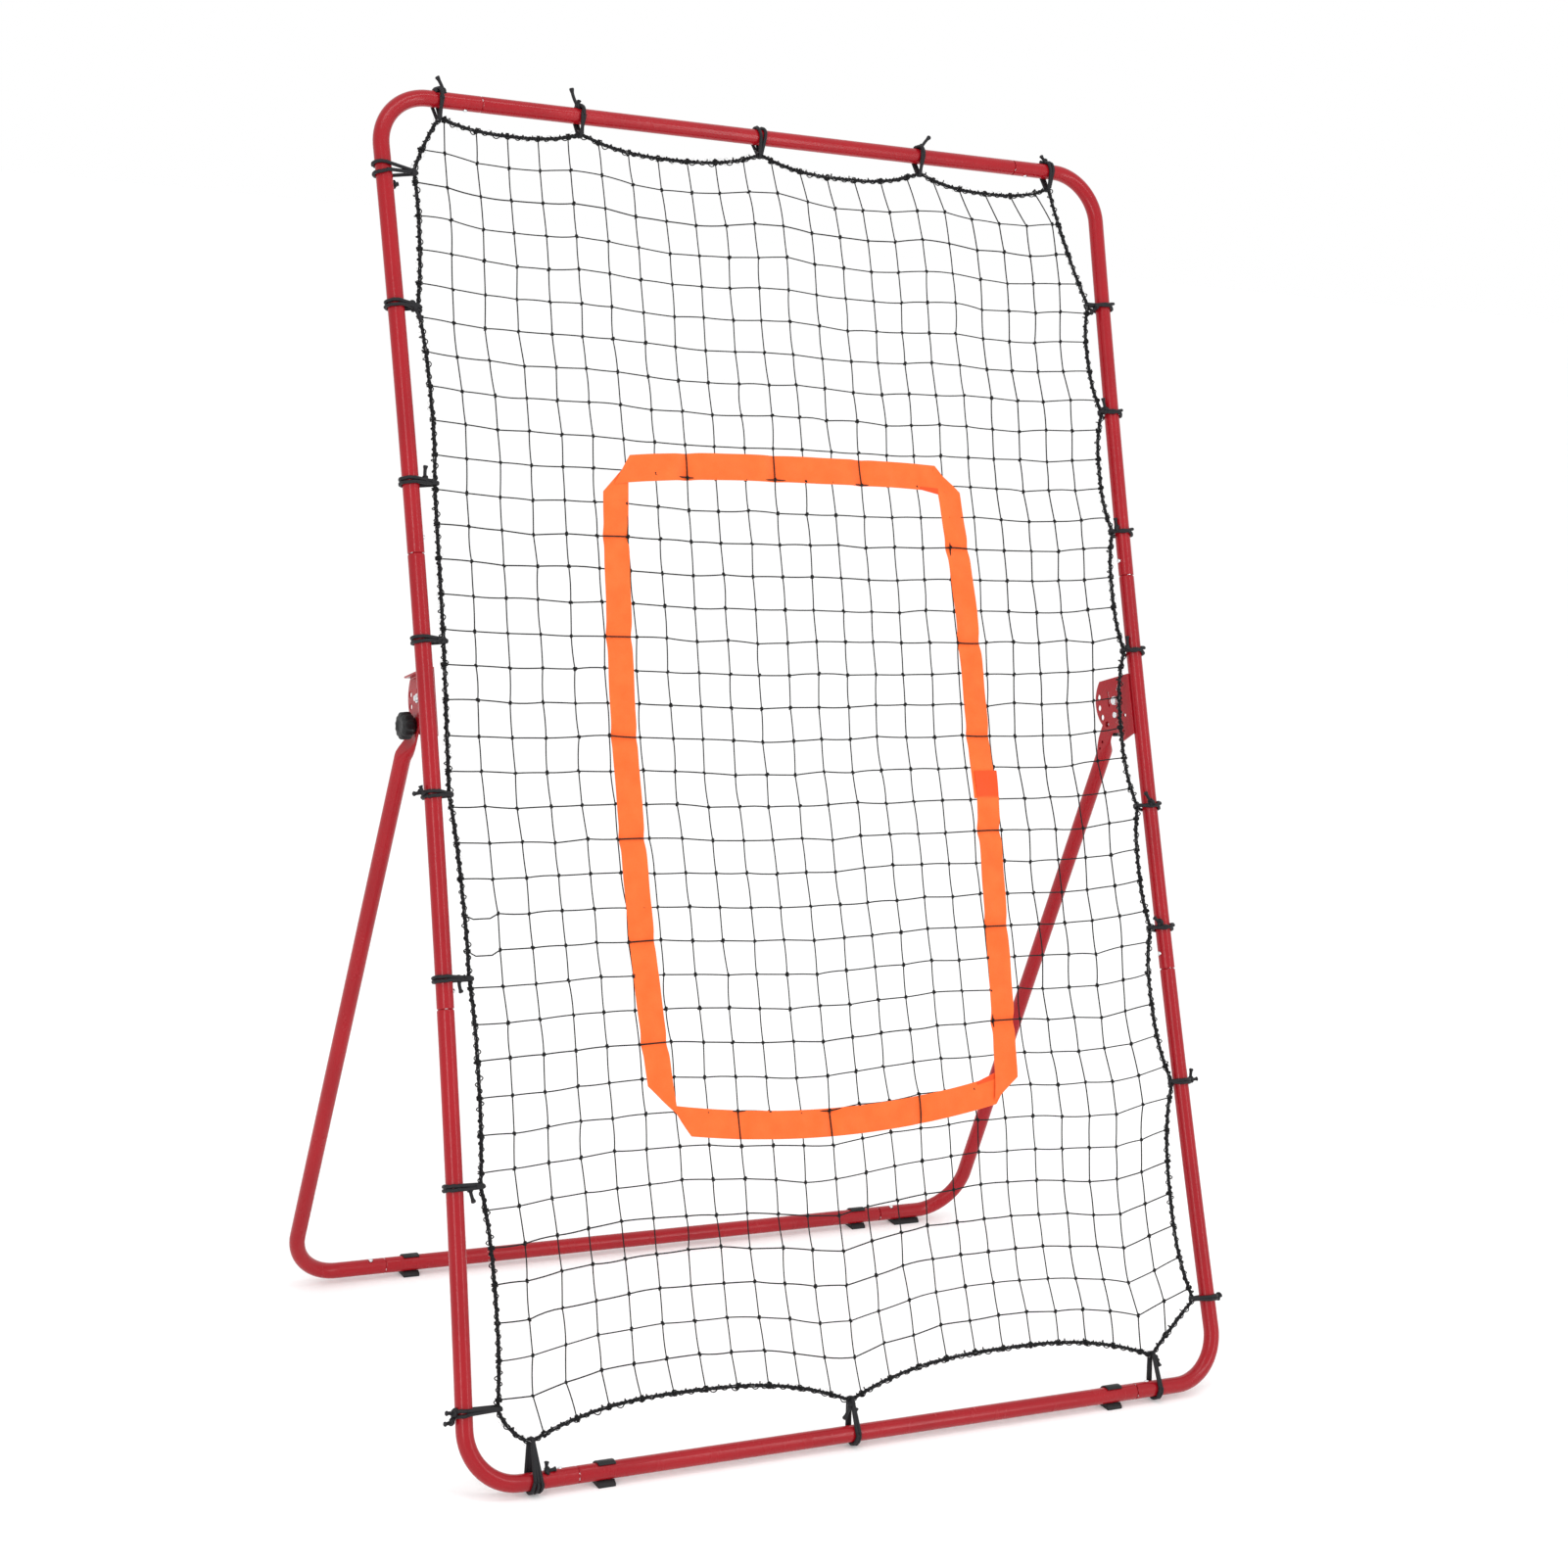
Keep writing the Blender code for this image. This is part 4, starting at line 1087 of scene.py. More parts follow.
def add_flap(shape, line, turn):
    """The corner of folded ribbon that shows past a level run, beside the right-hand run."""
    inner = float(zone_right(line(ZONE_RIGHT))) - RIBBON_WIDTH / 2 + 0.003
    along = np.linspace(0.0, 1.0, 9)
    across = np.array((0.0, 0.5, 1.0))[:, None]
    x = inner - FLAP_LENGTH * (1 - along)
    edge = line(x) + turn * RIBBON_WIDTH / 2
    rise = edge - turn * 0.004 + turn * across * (0.004 + FLAP_DEPTH * along)
    points = on_frame(x, rise, 0.0010)
    places = np.stack(np.broadcast_arrays(across * FLAP_DEPTH, along * FLAP_LENGTH), axis=-1)
    # The folded corner lies double all over, so all of it takes painted shade.
    add_sheet(shape, points, places, np.ones(points.shape[:2]))


# ---------------------------------------------------------------- ties

def belt(tube, rope, turns, spread, crossed):
    """Points of a cord wound round a tube and the rope beside it.

    The turns lie side by side round the tube, spread apart by that much, and draw together at the rope. Crossed
    turns change places in front of the tube.
    """
    gap = float(np.linalg.norm(tube - rope))
    outwards = (tube - rope) / gap
    along = np.cross(outwards, BEHIND)
    big = TUBE_RADIUS + TIE_RADIUS
    small = ROPE_RADIUS + 0.6 * TIE_RADIUS
    limit = math.acos(max(-1.0, (small - big) / gap))
    points = [rope + outwards * (small * math.cos(limit)) - BEHIND * (small * math.sin(limit))]
    for turn in range(turns):
        side = 2 * turn / (turns - 1) - 1 if turns > 1 else 0.0
        at_tube = side * spread / 2
        at_rope = side * TIE_RADIUS * 0.7
        came_from = -at_rope if crossed else at_rope
        for part in np.linspace(0, 1, 18):
            angle = limit - 2 * limit * part
            ease = min(1.0, part / 0.45)
            ease = ease * ease * (3 - 2 * ease)
            aside = came_from * 0.8 + (at_tube - came_from * 0.8) * (ease if crossed else min(1.0, 0.6 + 2 * part))
            ease_back = max(0.0, (part - 0.75) / 0.25)
            aside += (at_rope - at_tube) * 0.35 * ease_back
            lift = TIE_RADIUS * 1.5 * math.sin(math.pi * ease) if crossed and turn == turns - 1 else 0.0
            reach = big + lift
            points.append(
                tube + outwards * (reach * math.cos(angle)) - BEHIND * (reach * math.sin(angle)) + along * aside
            )
        after = at_rope if turn == turns - 1 else at_rope + 2 * TIE_RADIUS * 0.7 / max(1, turns - 1)
        for part in np.linspace(0, 1, 8):
            angle = -limit - 2 * (math.pi - limit) * part
            aside = at_rope + (after - at_rope) * part
            points.append(
                rope + outwards * (small * math.cos(angle)) - BEHIND * (small * math.sin(angle)) + along * aside
            )
    return np.array(points)


def build_ties():
    """The knotted elastic cords that hold the border rope to the tubes."""
    for name in tie_names():
        style = TIE_STYLES[name]
        tube = on_frame(*tie_place(name))
        rope = on_frame(*rope_place(name))
        shape = Shape()
        loops = belt(tube, rope, style["turns"], style["spread"], style["crossed"])
        loops = loops + RANDOM.normal(0.0, 0.00025, loops.shape)
        cord(shape, smooth_path(loops, 0.0022), TIE_RADIUS, 9)
        for across, up, front in style["knots"]:
            centre = tube + ACROSS * across + UP * up - BEHIND * front
            add_knot(shape, centre, 0.0036, TIE_RADIUS, 30, 8)
        for start, angle, length in style["tails"]:
            across, up, front = style["knots"][start]
            add_tail(shape, tube + ACROSS * across + UP * up - BEHIND * front, math.radians(angle), length)
        shape.build(name.replace("tie", "cord"), "elastic", "frame", (name,))


def add_tail(shape, start, angle, length):
    """A cut end that stands out of a knot, a little frayed and swollen at its tip."""
    way = ACROSS * math.cos(angle) + UP * math.sin(angle)
    curl = np.cross(way, BEHIND) * RANDOM.uniform(-0.18, 0.18) - BEHIND * RANDOM.uniform(0.0, 0.25)
    part = np.linspace(0, 1, 7)[:, None]
    path = smooth_path(start + way * length * part + curl * length * part**2, 0.0012)
    grow = np.linspace(0, 1, len(path))
    radius = TIE_RADIUS * (0.95 + 0.45 * np.clip((grow - 0.72) / 0.2, 0, 1))
    radius[-1] *= 0.75
    cord(shape, path, radius, 9)


# ---------------------------------------------------------------- tubes

def tube_ring(centre, side, normal, half_side, half_normal, sharpness=1.0):
    """Points round one cross-section. A sharpness over 1 flattens the circle on both sides."""
    angles = 2 * np.pi * np.arange(TUBE_SIDES) / TUBE_SIDES
    across = np.clip(sharpness * np.cos(angles), -1, 1)[:, None]
    return centre + side * (half_side * across) + normal * (half_normal * np.sin(angles)[:, None])


def hollow_tube(name, path, plane_normal, sleeve_ends, holes):
    """An open tube along a flat path. Each end in sleeve_ends is drawn down to slip inside the next tube."""
    stations = [(point, TUBE_RADIUS) for point in path]
    stations = stations[:-1] + (
        sleeve_stations(path[-2], path[-1]) if "end" in sleeve_ends else lip_stations(path[-2], path[-1])
    )
    stations = (
        sleeve_stations(path[1], path[0]) if "start" in sleeve_ends else lip_stations(path[1], path[0])
    )[::-1] + stations[1:]
    points = np.array([point for point, _ in stations])
    tangents = np.gradient(points, axis=0)
    rings = []
    bores = []
    for (point, radius), tangent in zip(stations, tangents):
        side = unit(np.cross(plane_normal, tangent))
        rings.append(tube_ring(point, side, plane_normal, radius, radius))
        bore = min(radius, TUBE_RADIUS) - TUBE_WALL
        bores.append(tube_ring(point, side, plane_normal, bore, bore))
    shape = Shape()
    along = lengths_along(points)
    skin(shape, rings + bores[::-1], np.concatenate((along, along[::-1])), 0.0)
    piece = shape.build(name + "_tube", "red_powder_coat", BODY_OF[name], (name,), sharp=35)
    tidy_solid(piece, holes)
    return piece


def sleeve_stations(before, seam):
    """Path points and radii from a seam's shoulder to the end of the drawn-down sleeve."""
    along = unit(seam - before)
    sleeve_radius = TUBE_RADIUS - TUBE_WALL - SLEEVE_CLEARANCE
    return [
        (seam - along * (SEAM_GAP / 2 + SHOULDER_LENGTH + 0.0006), TUBE_RADIUS),
        (seam - along * (SEAM_GAP / 2 + SHOULDER_LENGTH), TUBE_RADIUS - 0.0001),
        (seam - along * (SEAM_GAP / 2), sleeve_radius),
        (seam + along * SLEEVE_LENGTH, sleeve_radius),
    ]


def lip_stations(before, seam):
    """A slightly rounded open end."""
    along = unit(seam - before)
    return [(seam - along * LIP, TUBE_RADIUS), (seam, TUBE_RADIUS - LIP)]


def tidy_solid(piece, holes=()):
    """Turns the faces outwards, then drills the holes, each given as (base, axis, length, radius)."""
    mesh = piece.data
    work = bmesh_from(mesh)
    bmesh.ops.remove_doubles(work, verts=work.verts, dist=1e-7)
    bmesh.ops.recalc_face_normals(work, faces=work.faces)
    if work.calc_volume(signed=True) < 0:
        bmesh.ops.reverse_faces(work, faces=work.faces)
    work.to_mesh(mesh)
    work.free()
    for base, axis, length, radius in holes:
        cutter = cylinder_cutter(base, axis, length, radius)
        modifier = piece.modifiers.new("hole", "BOOLEAN")
        modifier.operation = "DIFFERENCE"
        modifier.solver = "EXACT"
        modifier.object = cutter
        graph = bpy.context.evaluated_depsgraph_get()
        drilled = bpy.data.meshes.new_from_object(piece.evaluated_get(graph))
        piece.modifiers.remove(modifier)
        bpy.data.objects.remove(cutter)
        piece.data = drilled
    if holes:
        piece.data.shade_smooth()
        piece.data.set_sharp_from_angle(angle=math.radians(35))


def bmesh_from(mesh):
    work = bmesh.new()
    work.from_mesh(mesh)
    return work


def cylinder_cutter(base, axis, length, radius):
    rings = turned_rings([(0, radius), (length, radius)], base, axis, 32)
    mesh = bpy.data.meshes.new("cutter")
    points = np.concatenate(rings)
    faces = [(step, (step + 1) % 32, 32 + (step + 1) % 32, 32 + step) for step in range(32)]
    faces += [tuple(range(32)), tuple(range(63, 31, -1))]
    mesh.from_pydata(points.tolist(), [], faces)
    work = bmesh_from(mesh)
    bmesh.ops.recalc_face_normals(work, faces=work.faces)
    work.to_mesh(mesh)
    work.free()
    cutter = bpy.data.objects.new("cutter", mesh)
    bpy.context.scene.collection.objects.link(cutter)
    return cutter


def turned_rings(profile, base, axis, sides, flutes=None):
    """Rings of a solid of revolution. The profile is (distance along the axis, radius)."""
    first = unit(np.cross(axis, ACROSS if abs(axis[0]) < 0.9 else np.array((0.0, 0.0, 1.0))))
    second = np.cross(axis, first)
    angles = 2 * np.pi * np.arange(sides) / sides
    rings = []
    for number, (along, radius) in enumerate(profile):
        reach = radius + (flutes(number, angles) if flutes else 0.0 * angles)
        rings.append(
            base
            + axis * along
            + first * (reach * np.cos(angles))[:, None]
            + second * (reach * np.sin(angles))[:, None]
        )
    return rings


def turned(shape, profile, base, axis, sides, flutes=None):
    rings = turned_rings(profile, base, axis, sides, flutes)
    skin(shape, rings, [along for along, _ in profile])


def side_path(sign, low, high):
    """Points up one side tube, close enough together to follow its bow."""
    heights = np.linspace(low, high, max(3, int((high - low) / 0.03)))
    return list(on_frame(sign * side_x(heights), heights))


def bend(corner, leave, arrive):
    """Points round a bend of CORNER_RADIUS, where leave and arrive point away from the sharp corner."""
    centre = corner + (leave + arrive) * CORNER_RADIUS
    points = []
    for step in range(CORNER_STEPS + 1):
        turn = math.pi / 2 * step / CORNER_STEPS
        points.append(centre - arrive * (CORNER_RADIUS * math.cos(turn)) - leave * (CORNER_RADIUS * math.sin(turn)))
    return points


def button_hole(seam, towards_female, outwards):
    base = seam + towards_female * BUTTON_FROM_SEAM
    return base + outwards * 0.006, outwards, 0.008, BUTTON_HOLE_RADIUS


def build_frame_tubes():
    """The front frame's eight tubes, with the holes that its snap buttons stand out of."""
    bar_holes = {True: [], False: []}
    for word, sign in (("left", -1), ("right", 1)):
        side_hole = {}
        for place, height in (("lower", LOWER_SEAM_HEIGHT), ("upper", UPPER_SEAM_HEIGHT)):
            seam = on_frame(sign * side_x(height + BUTTON_FROM_SEAM), height)
            side_hole[place] = button_hole(seam, UP, ACROSS * -sign)
        path = side_path(sign, LOWER_SEAM_HEIGHT + SEAM_GAP / 2, UPPER_SEAM_HEIGHT)
        hollow_tube(f"frame_{word}_side", path, BEHIND, ("end",), list(side_hole.values()))
        for lower, up in ((True, UP), (False, -UP)):
            corner_height = 0.0 if lower else FRAME_HEIGHT
            bar_end = on_frame(sign * (BAR_SEAM_X + SEAM_GAP / 2), corner_height)
            curve = bend(on_frame(sign * FRAME_HALF_WIDTH, corner_height), ACROSS * -sign, up)
            hole = button_hole(on_frame(sign * BAR_SEAM_X, corner_height), ACROSS * sign, up)
            bar_holes[lower].append(hole)
            if lower:
                rise = side_path(sign, CORNER_RADIUS, LOWER_SEAM_HEIGHT)
                path = [bar_end] + curve + rise[1:]
                name = f"frame_bottom_{word}_corner"
                hollow_tube(name, path, BEHIND, ("end",), [hole, side_hole["lower"]])
            else:
                rise = side_path(sign, UPPER_SEAM_HEIGHT + SEAM_GAP / 2, FRAME_HEIGHT - CORNER_RADIUS)
                path = [bar_end] + curve + rise[-2::-1]
                name = f"frame_top_{word}_corner"
                hollow_tube(name, path, BEHIND, (), [hole, side_hole["upper"]])
    for lower, name, height in ((True, "frame_bottom_bar", 0.0), (False, "frame_top_bar", FRAME_HEIGHT)):
        path = list(on_frame(np.linspace(-BAR_SEAM_X, BAR_SEAM_X, 9), height))
        hollow_tube(name, path, BEHIND, ("start", "end"), bar_holes[lower])


def seam_rings():
    """Flecks of bare steel at the bottom of each seam, where assembly has rubbed the paint off."""
    angles = 2 * np.pi * np.arange(48) / 48
    half = 0.0004
    seams = {"frame": [], "leg": []}
    for sign in (-1, 1):
        for height in (LOWER_SEAM_HEIGHT, UPPER_SEAM_HEIGHT):
            seams["frame"].append((on_frame(sign * side_x(height), height), UP))
        for height in (0.0, FRAME_HEIGHT):
            seams["frame"].append((on_frame(sign * BAR_SEAM_X, height), ACROSS))
        seams["leg"].append((REAR_BAR + ACROSS * (sign * LEG_BAR_SEAM_X), ACROSS))
    for body, places in seams.items():
        shape = Shape()
        for number, (centre, axis) in enumerate(places):
            rubbed = np.sin(3 * angles + number) + np.sin(7 * angles) > 0.9
            outer = TUBE_RADIUS - np.where(rubbed, 0.0005, 0.0020)
            levels = (outer - 0.0008, outer, outer, outer - 0.0008)
            profile = [(-half, 0.0), (-half, 0.0), (half, 0.0), (half, 0.0)]
            turned(shape, profile, centre, axis, 48, lambda level, _: levels[level])
        shape.build(f"{body}_seam_rings", "zinc_steel", body, sharp=35)


def build_leg_tubes():
    """The rear bar and the two leg tubes, each bent at the bottom and pressed flat round its pivot."""
    bar_holes = []
    for word, sign in (("left", -1), ("right", 1)):
        hole = button_hole(REAR_BAR + ACROSS * (sign * LEG_BAR_SEAM_X), ACROSS * sign, -DOWN_LEG)
        bar_holes.append(hole)
        leg_side(f"leg_{word}_side", sign, hole)
    path = [REAR_BAR + ACROSS * x for x in np.linspace(-LEG_BAR_SEAM_X, LEG_BAR_SEAM_X, 9)]
    hollow_tube("leg_rear_bar", path, LEG_NORMAL, ("start", "end"), bar_holes)


def leg_end_x():
    """X of the right leg's flat end, which its lock knob lies against."""
    lock_low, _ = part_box("lock_knob_right")
    return lock_low.x - 0.0002 + LEG_END_THICKNESS / 2


def leg_side(name, sign, hole):
    bar_end = REAR_BAR + ACROSS * (sign * (LEG_BAR_SEAM_X + SEAM_GAP / 2))
    curve = bend(REAR_BAR + ACROSS * (sign * LEG_HALF_WIDTH), ACROSS * -sign, -DOWN_LEG)
    round_top = PIVOT + DOWN_LEG * LEG_ROUND_FROM + ACROSS * (sign * LEG_HALF_WIDTH)
    rise = [curve[-1] + (round_top - curve[-1]) * part for part in np.linspace(0, 1, 9)]
    path = [bar_end + ACROSS * (sign * LIP)] + curve + rise[1:]
    tangents = np.gradient(np.array(path), axis=0)
    outer = [tube_ring(bar_end, DOWN_LEG, LEG_NORMAL, TUBE_RADIUS - LIP, TUBE_RADIUS - LIP)]
    inner = []
    for point, tangent in zip(path, tangents):
        side = unit(np.cross(LEG_NORMAL, tangent))
        outer.append(tube_ring(point, side, LEG_NORMAL, TUBE_RADIUS, TUBE_RADIUS))
        bore = TUBE_RADIUS - TUBE_WALL
        inner.append(tube_ring(point, side, LEG_NORMAL, bore, bore))
    outer[0] = outer[1] + (bar_end - path[0]) + (path[0] - outer[1]) * (LIP / TUBE_RADIUS)
    inner[0] = inner[0] + (bar_end - path[0])
    side = np.cross(LEG_NORMAL, -DOWN_LEG)
    flat_x = leg_end_x()
    for part in np.linspace(0, 1, 9)[1:]:
        ease = part * part * (3 - 2 * part)
        along = LEG_ROUND_FROM + (LEG_FLAT_LENGTH - LEG_ROUND_FROM) * part
        centre = PIVOT + DOWN_LEG * along + ACROSS * (sign * (LEG_HALF_WIDTH + (flat_x - LEG_HALF_WIDTH) * ease))
        half_side = TUBE_RADIUS + (LEG_END_THICKNESS / 2 - TUBE_RADIUS) * ease
        half_normal = TUBE_RADIUS + (LEG_END_HALF_WIDTH - TUBE_RADIUS) * ease
        outer.append(tube_ring(centre, side, LEG_NORMAL, half_side, half_normal, 1 + 1.6 * ease))
    for angle in np.linspace(0, math.radians(68), 9):
        along = -0.0125 * math.sin(angle) / math.sin(math.radians(68))
        centre = PIVOT + DOWN_LEG * along + ACROSS * (sign * flat_x)
        outer.append(
            tube_ring(centre, side, LEG_NORMAL, LEG_END_THICKNESS / 2, LEG_END_HALF_WIDTH * math.cos(angle), 2.6)
        )
    shape = Shape()
    rings = outer[::-1] + inner
    skin(shape, rings, lengths_along(np.array([ring.mean(0) for ring in rings])))
    piece = shape.build(name + "_tube", "red_powder_coat", BODY_OF[name], (name,), sharp=35)
    holes = [hole]
    for along, radius in ((0.0, 0.0040), (LOCK_RADIUS, 0.0034), (0.070, 0.0022), (0.081, 0.0020)):
        base = PIVOT + DOWN_LEG * along + ACROSS * (sign * (flat_x - 0.006))
        holes.append((base, ACROSS * sign, 0.012, radius))
    tidy_solid(piece, holes)


# ---------------------------------------------------------------- brackets, bolts, knobs, buttons and feet

def bevelled_prism(shape, outline, along, length, bevel):
    """A solid carried from a flat outline along a direction, with its sharp edges rounded off."""
    count = len(outline)
    outline = np.asarray(outline)
    work = bmesh.new()
    near = [work.verts.new(point) for point in outline]
    far = [work.verts.new(point + along * length) for point in outline]
    work.faces.new(near)
    work.faces.new(far[::-1])
    for step in range(count):
        beside = (step + 1) % count
        work.faces.new((near[beside], near[step], far[step], far[beside]))
    bmesh.ops.recalc_face_normals(work, faces=work.faces)
    sharp = [edge for edge in work.edges if edge.calc_face_angle(0.0) > math.radians(28)]
    bmesh.ops.bevel(work, geom=sharp, offset=bevel, segments=3, profile=0.5, affect="EDGES", clamp_overlap=True)
    work.verts.index_update()
    points = np.array([vertex.co[:] for vertex in work.verts])
    faces = [[vertex.index for vertex in face.verts] for face in work.faces]
    places = np.array([(vertex.co.y, vertex.co.z) for face in work.faces for vertex in face.verts])
    work.free()
    shape.add_polygons(points, faces, places)


def bracket(word, sign):
    """The hinge plate with its lock holes, its turned-out lip and its welds to the side tube."""
    node = f"bracket_{word}"
    outer = plate_outer_x()
    turn = np.radians(np.linspace(136.0, 0.0, 48))
    arc = np.stack(
        (PIVOT_BEHIND + PLATE_ARC_RADIUS * np.sin(turn), PIVOT_HEIGHT - PLATE_ARC_RADIUS * np.cos(turn)), axis=-1
    )
    front_edge = ((PLATE_FRONT, PLATE_BOTTOM), (PLATE_FRONT, PLATE_TOP), (arc[0, 0], PLATE_TOP))
    outline = np.concatenate((front_edge, arc, ((0.030, PLATE_BOTTOM - 0.008),)))
    plate = Shape()
    inner = sign * (outer - PLATE_THICKNESS)
    bevelled_prism(plate, on_frame(inner, outline[:, 1], outline[:, 0]), ACROSS * sign, PLATE_THICKNESS, 0.0004)
    piece = plate.build(f"{node}_plate", "red_powder_coat", "frame", (node,), sharp=35)
    holes = []
    lock_angle = math.acos(float(np.dot(DOWN_LEG, -UP)))
    spots = [(PIVOT_BEHIND, PIVOT_HEIGHT, 0.0040), (0.0185, 0.953, 0.0030), (0.024, 0.931, 0.0025)]
    for number in range(LOCK_HOLES):
        angle = lock_angle + number * LOCK_STEP
        spots.append(
            (
                PIVOT_BEHIND + LOCK_RADIUS * math.sin(angle),
                PIVOT_HEIGHT - LOCK_RADIUS * math.cos(angle),
                LOCK_HOLE_RADIUS,
            )
        )
    for height in np.linspace(0.973, 0.993, 14):
        spots.append((0.0535, height, 0.0018))
    for behind, height, radius in spots:
        base = on_frame(sign * (outer - PLATE_THICKNESS - 0.002), height, behind)
        holes.append((base, ACROSS * sign, PLATE_THICKNESS + 0.004, radius))
    tidy_solid(piece, holes)

    lip = Shape()
    bend_radius = 0.004
    quarter = np.linspace(0, math.pi / 2, 8)
    corner = (outer - PLATE_THICKNESS + bend_radius, PLATE_TOP - bend_radius)
    over = [(corner[0] - bend_radius * math.cos(a), corner[1] + bend_radius * math.sin(a)) for a in quarter]
    under_radius = bend_radius - PLATE_THICKNESS
    under = [(corner[0] - under_radius * math.cos(a), corner[1] + under_radius * math.sin(a)) for a in quarter]
    section = over + [(outer + FLANGE_WIDTH, PLATE_TOP), (outer + FLANGE_WIDTH, PLATE_TOP - PLATE_THICKNESS)]
    section += under[::-1]
    front = TUBE_RADIUS + 0.002
    flat = np.array([on_frame(sign * x, height, front) for x, height in section])
    bevelled_prism(lip, flat, BEHIND, arc[0, 0] - front, 0.0004)
    lip.build(f"{node}_lip", "red_powder_coat", "frame", sharp=35)

    weld = Shape()
    heights = np.linspace(PLATE_BOTTOM + 0.008, PLATE_TOP - 0.012, 60)
    lumps = 0.0014 + 0.0004 * np.abs(np.sin(np.pi * np.arange(60) / 2.6)) + RANDOM.normal(0, 0.00008, 60)
    lumps[[0, -1]] = 0.0006
    cord(weld, on_frame(sign * (outer + 0.0007), heights, 0.0062), lumps, 10)
    weld.build(f"{node}_weld", "red_powder_coat", "frame")

    pin = Shape()
    profile = [(0.0, 0.0046), (0.0022, 0.0046), (0.0030, 0.0042), (0.0035, 0.0030), (0.0037, 0.0010)]
    for base, way in ((inner, -1), (sign * outer, 1)):
        centre = on_frame(base, PIVOT_HEIGHT - 0.021, PIVOT_BEHIND + 0.0015)
        turned(pin, profile, centre, ACROSS * sign * way, 32)
    pin.build(f"{node}_rivet", "zinc_steel", "frame", sharp=35)


def plate_outer_x():
    """X of the right bracket's outer face, from its CAD box."""
    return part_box("bracket_right")[0].x + PLATE_THICKNESS


def hexagon(apothem, angles):
    """How far a hexagon reaches at each angle."""
    return apothem / np.cos((angles + math.pi / 6) % (math.pi / 3) - math.pi / 6)


def hex_rings(shape, levels, base, axis):
    """A hexagonal head or nut. Each level is (distance, apothem, greatest radius)."""
    angles = 2 * np.pi * np.arange(72) / 72
    flutes = [np.minimum(hexagon(apothem, angles), most) for _, apothem, most in levels]
    turned(shape, [(along, 0.0) for along, _, _ in levels], base, axis, 72, lambda number, _: flutes[number])


def pivot_bolt(word, sign):
    """The hexagonal bolt head inside the plate, and the washer, nut and thread outside the leg."""
    bolt = Shape()
    outer = plate_outer_x()
    low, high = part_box(f"pivot_bolt_{word}")
    head = PIVOT + ACROSS * (low.x if sign > 0 else high.x)
    axis = ACROSS * sign
    hex_rings(bolt, [(0.0, 0.0050, 0.0050), (0.0006, 0.0058, 0.0061), (0.0033, 0.0058, 0.0067)], head, axis)
    turned(bolt, [(0.0031, 0.0066), (0.0040, 0.0066), (0.0041, 0.0037), (0.0094, 0.0037)], head, axis, 48)
    nut_from = outer + LEG_END_THICKNESS + 0.0007 - abs(head[0])
    turned(bolt, [(nut_from, 0.0070), (nut_from + 0.0008, 0.0070)], head, axis, 48)
    levels = [(nut_from + 0.0008, 0.0057, 0.0062), (nut_from + 0.0014, 0.0059, 0.0067)]
    levels += [(nut_from + 0.0042, 0.0059, 0.0067), (nut_from + 0.0048, 0.0057, 0.0060)]
    hex_rings(bolt, levels, head, axis)
    thread = []
    for turn in range(7):
        along = nut_from + 0.0046 + turn * 0.0005
        thread.append((along, 0.0036 if turn % 2 == 0 else 0.0032))
    thread.append((nut_from + 0.0080, 0.0026))
    turned(bolt, thread, head, axis, 48)
    bolt.build(f"pivot_bolt_{word}_steel", "zinc_steel", "frame", (f"pivot_bolt_{word}",), sharp=30)


def lock_knob(word, sign):
    """The fluted drum knob and its steel stud."""
    node = f"lock_knob_{word}"
    low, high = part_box(node)
    base = PIVOT + DOWN_LEG * LOCK_RADIUS + ACROSS * (low.x if sign > 0 else high.x)
    face = LEG_END_THICKNESS + 0.0001
    sections = [
        (face, 0.0100, 0.0),
        (face + 0.0004, 0.0105, 0.0),
        (face + 0.0040, 0.0115, 0.0),
        (face + 0.0052, 0.0150, 0.0004),
        (face + 0.0062, 0.0162, 0.0009),
        (face + 0.0080, 0.0171, 0.0012),
        (face + 0.0125, 0.0172, 0.0012),
        (face + 0.0170, 0.0168, 0.0012),
        (face + 0.0186, 0.0160, 0.0010),
        (face + 0.0197, 0.0145, 0.0007),
        (face + 0.0204, 0.0120, 0.0002),
        (face + 0.0204, 0.0080, 0.0),
        (face + 0.0196, 0.0070, 0.0),
        (face + 0.0194, 0.0020, 0.0),
    ]
    knob = Shape()
    profile = [(along, radius) for along, radius, _ in sections]
    turned(
        knob, profile, base, ACROSS * sign, 120, lambda number, angles: sections[number][2] * np.cos(12 * angles)
    )
    knob.build(f"{node}_grip", "black_plastic", f"knob_{word}", (node,), sharp=40)
    stud = Shape()
    turned(stud, [(0.0, 0.0024), (0.0006, 0.0030), (face + 0.002, 0.0030)], base, ACROSS * sign, 40)
    stud.build(f"{node}_stud", "zinc_steel", f"knob_{word}", sharp=35)


def snap_buttons():
    """The domed pin of each snap button, on its own body so that it can be pressed in."""
    for node in frame["nodes"]:
        if not node.startswith("button_"):
            continue
        low, high = (np.array(corner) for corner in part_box(node))
        axis, tip = button_way(node, (low + high) / 2)
        profile = [
            (-0.0080, 0.0040),
            (-0.0071, 0.0040),
            (-0.0070, 0.0030),
            (-0.0012, 0.0030),
            (-0.0007, 0.0028),
            (-0.0003, 0.0023),
            (-0.0001, 0.0014),
            (0.0, 0.0005),
        ]
        pin = Shape()
        turned(pin, profile, tip, axis, 32)
        pin.build(f"{node}_pin", "zinc_steel", node, (node,), sharp=40)


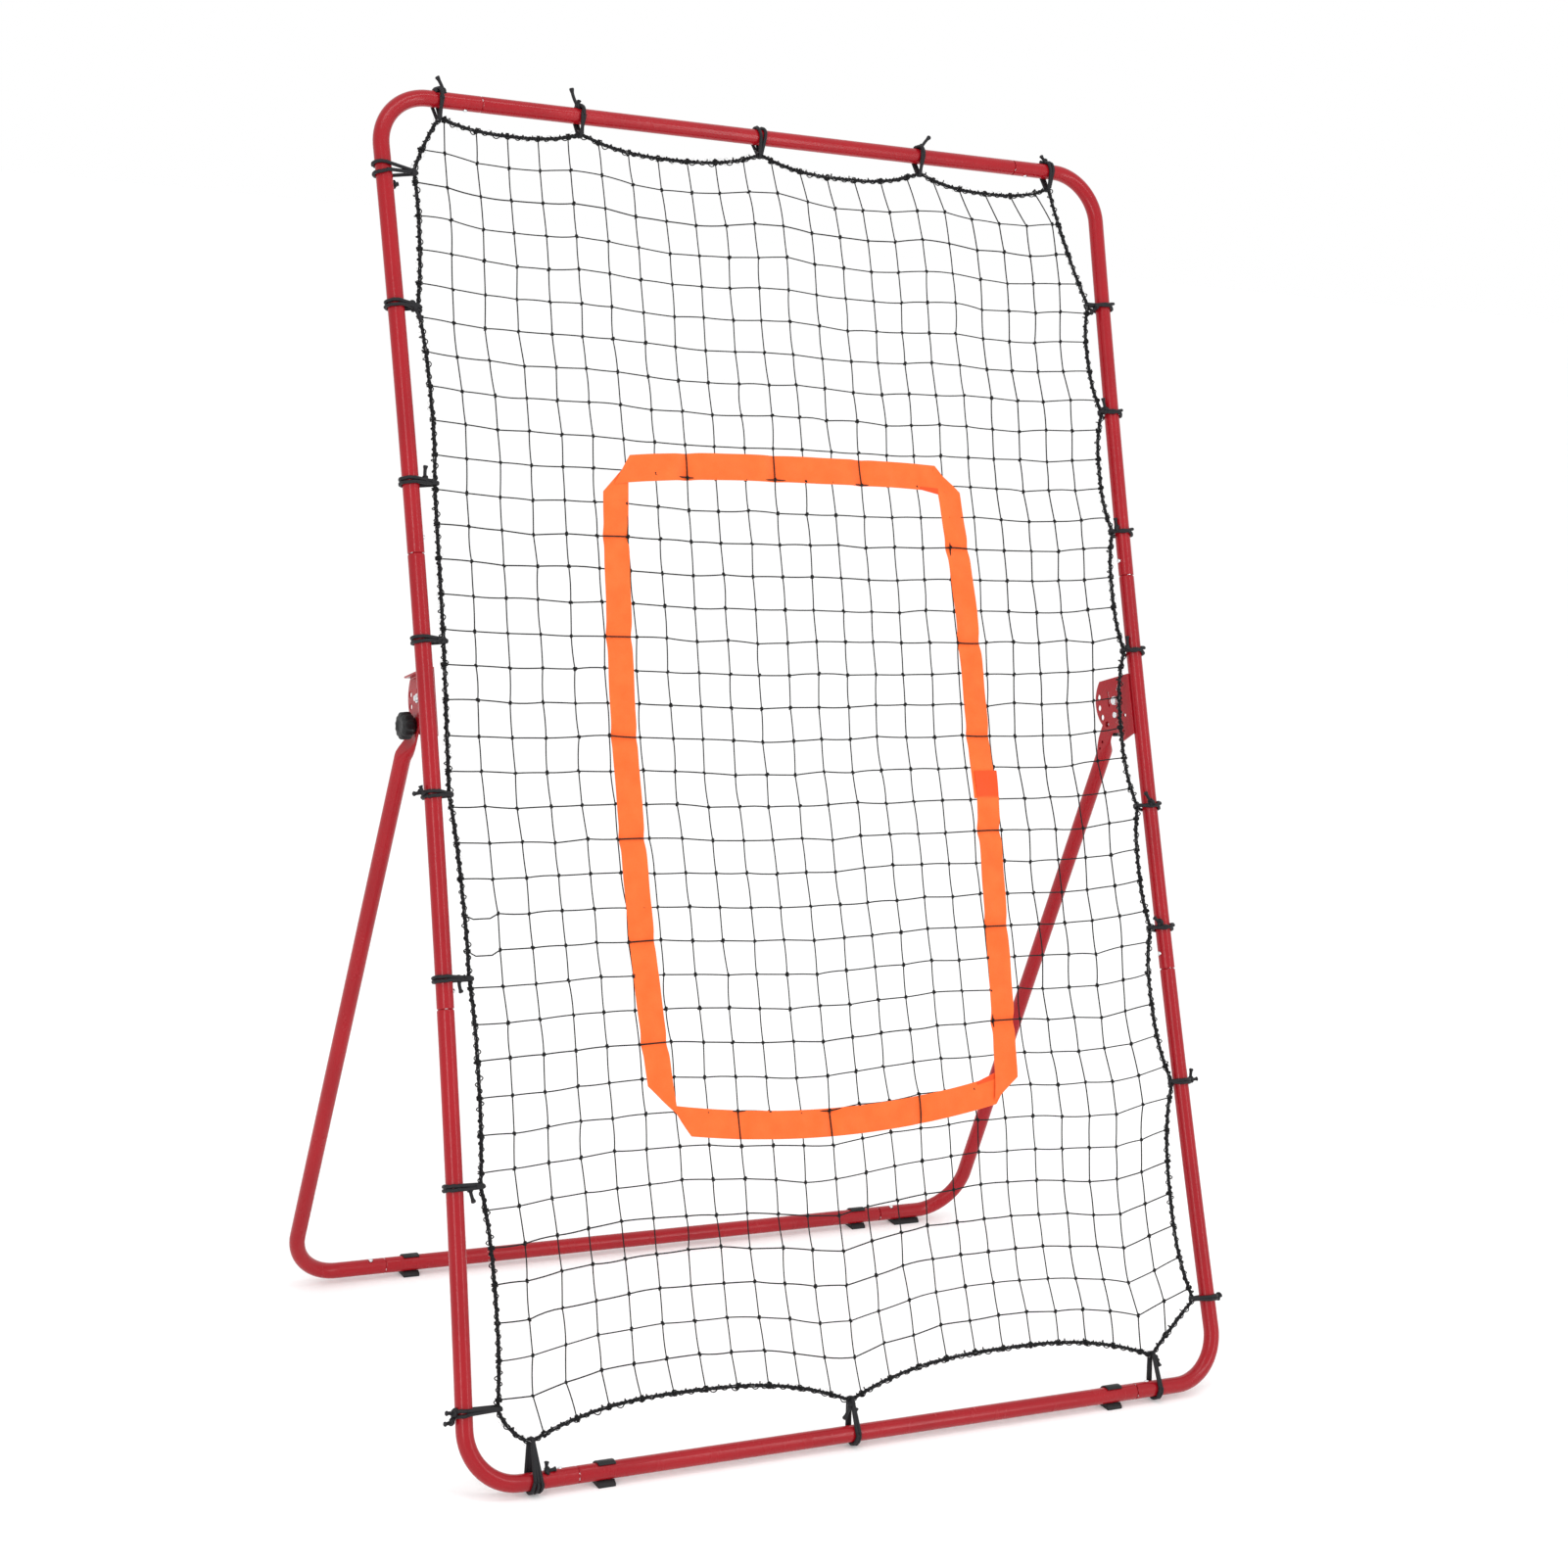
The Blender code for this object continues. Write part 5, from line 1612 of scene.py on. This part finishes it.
def button_way(node, centre):
    """The way a button points out of its tube, and its tip, half its 8 mm length past its box's centre."""
    if "leg" in node:
        axis = -DOWN_LEG
    elif "bottom" in node:
        axis = UP
    elif "top" in node:
        axis = -UP
    else:
        axis = ACROSS * -math.copysign(1.0, centre[0])
    return axis, centre + axis * 0.0040


def foot_outline(first_angle):
    """(Y, Z) points of a foot's section: a clip that hugs the bar from behind, and a flat pad below it."""
    bar_height = FRAME_FOOT[2]
    outer_radius = TUBE_RADIUS + CLIP_THICKNESS
    inner = [(TUBE_RADIUS + 0.0003, math.radians(angle)) for angle in np.linspace(-125, first_angle, 36)]
    last = -math.degrees(math.acos(PAD_HALF_DEPTH / outer_radius))
    outer = [
        (outer_radius, math.radians(angle))
        for angle in np.linspace(first_angle, last, 24)
        if first_angle > last
    ]
    outline = [(radius * math.cos(angle), radius * math.sin(angle)) for radius, angle in inner + outer]
    base = -bar_height
    outline += [(PAD_HALF_DEPTH, base), (-PAD_HALF_DEPTH, base), (-PAD_HALF_DEPTH, base + 0.0035)]
    return outline


def feet():
    for node in ("front_foot_left", "front_foot_right", "rear_foot_left", "rear_foot_right", "rear_heel_pad"):
        low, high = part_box(node)
        bar = FRAME_FOOT if "front" in node else REAR_BAR
        outline = foot_outline(-20.0 if "heel" in node else 120.0)
        begin, end = (low.x + HEEL_START, high.x + HEEL_REACH) if "heel" in node else (low.x, high.x)
        flat = np.array([(begin, bar[1] + y, bar[2] + z) for y, z in outline])
        shape = Shape()
        bevelled_prism(shape, flat, ACROSS, end - begin, 0.0006)
        piece = shape.build(f"{node}_moulding", "black_plastic", BODY_OF[node], (node,), sharp=35)
        tidy_solid(piece)


place_camera()
light_studio()
lay_floor()
ROPE = rope_path()
NET = hang_net()
build_frame_tubes()
build_leg_tubes()
seam_rings()
build_net()
build_border()
build_ribbon()
build_ties()
for word, sign in (("left", -1), ("right", 1)):
    bracket(word, sign)
    pivot_bolt(word, sign)
    lock_knob(word, sign)
snap_buttons()
feet()
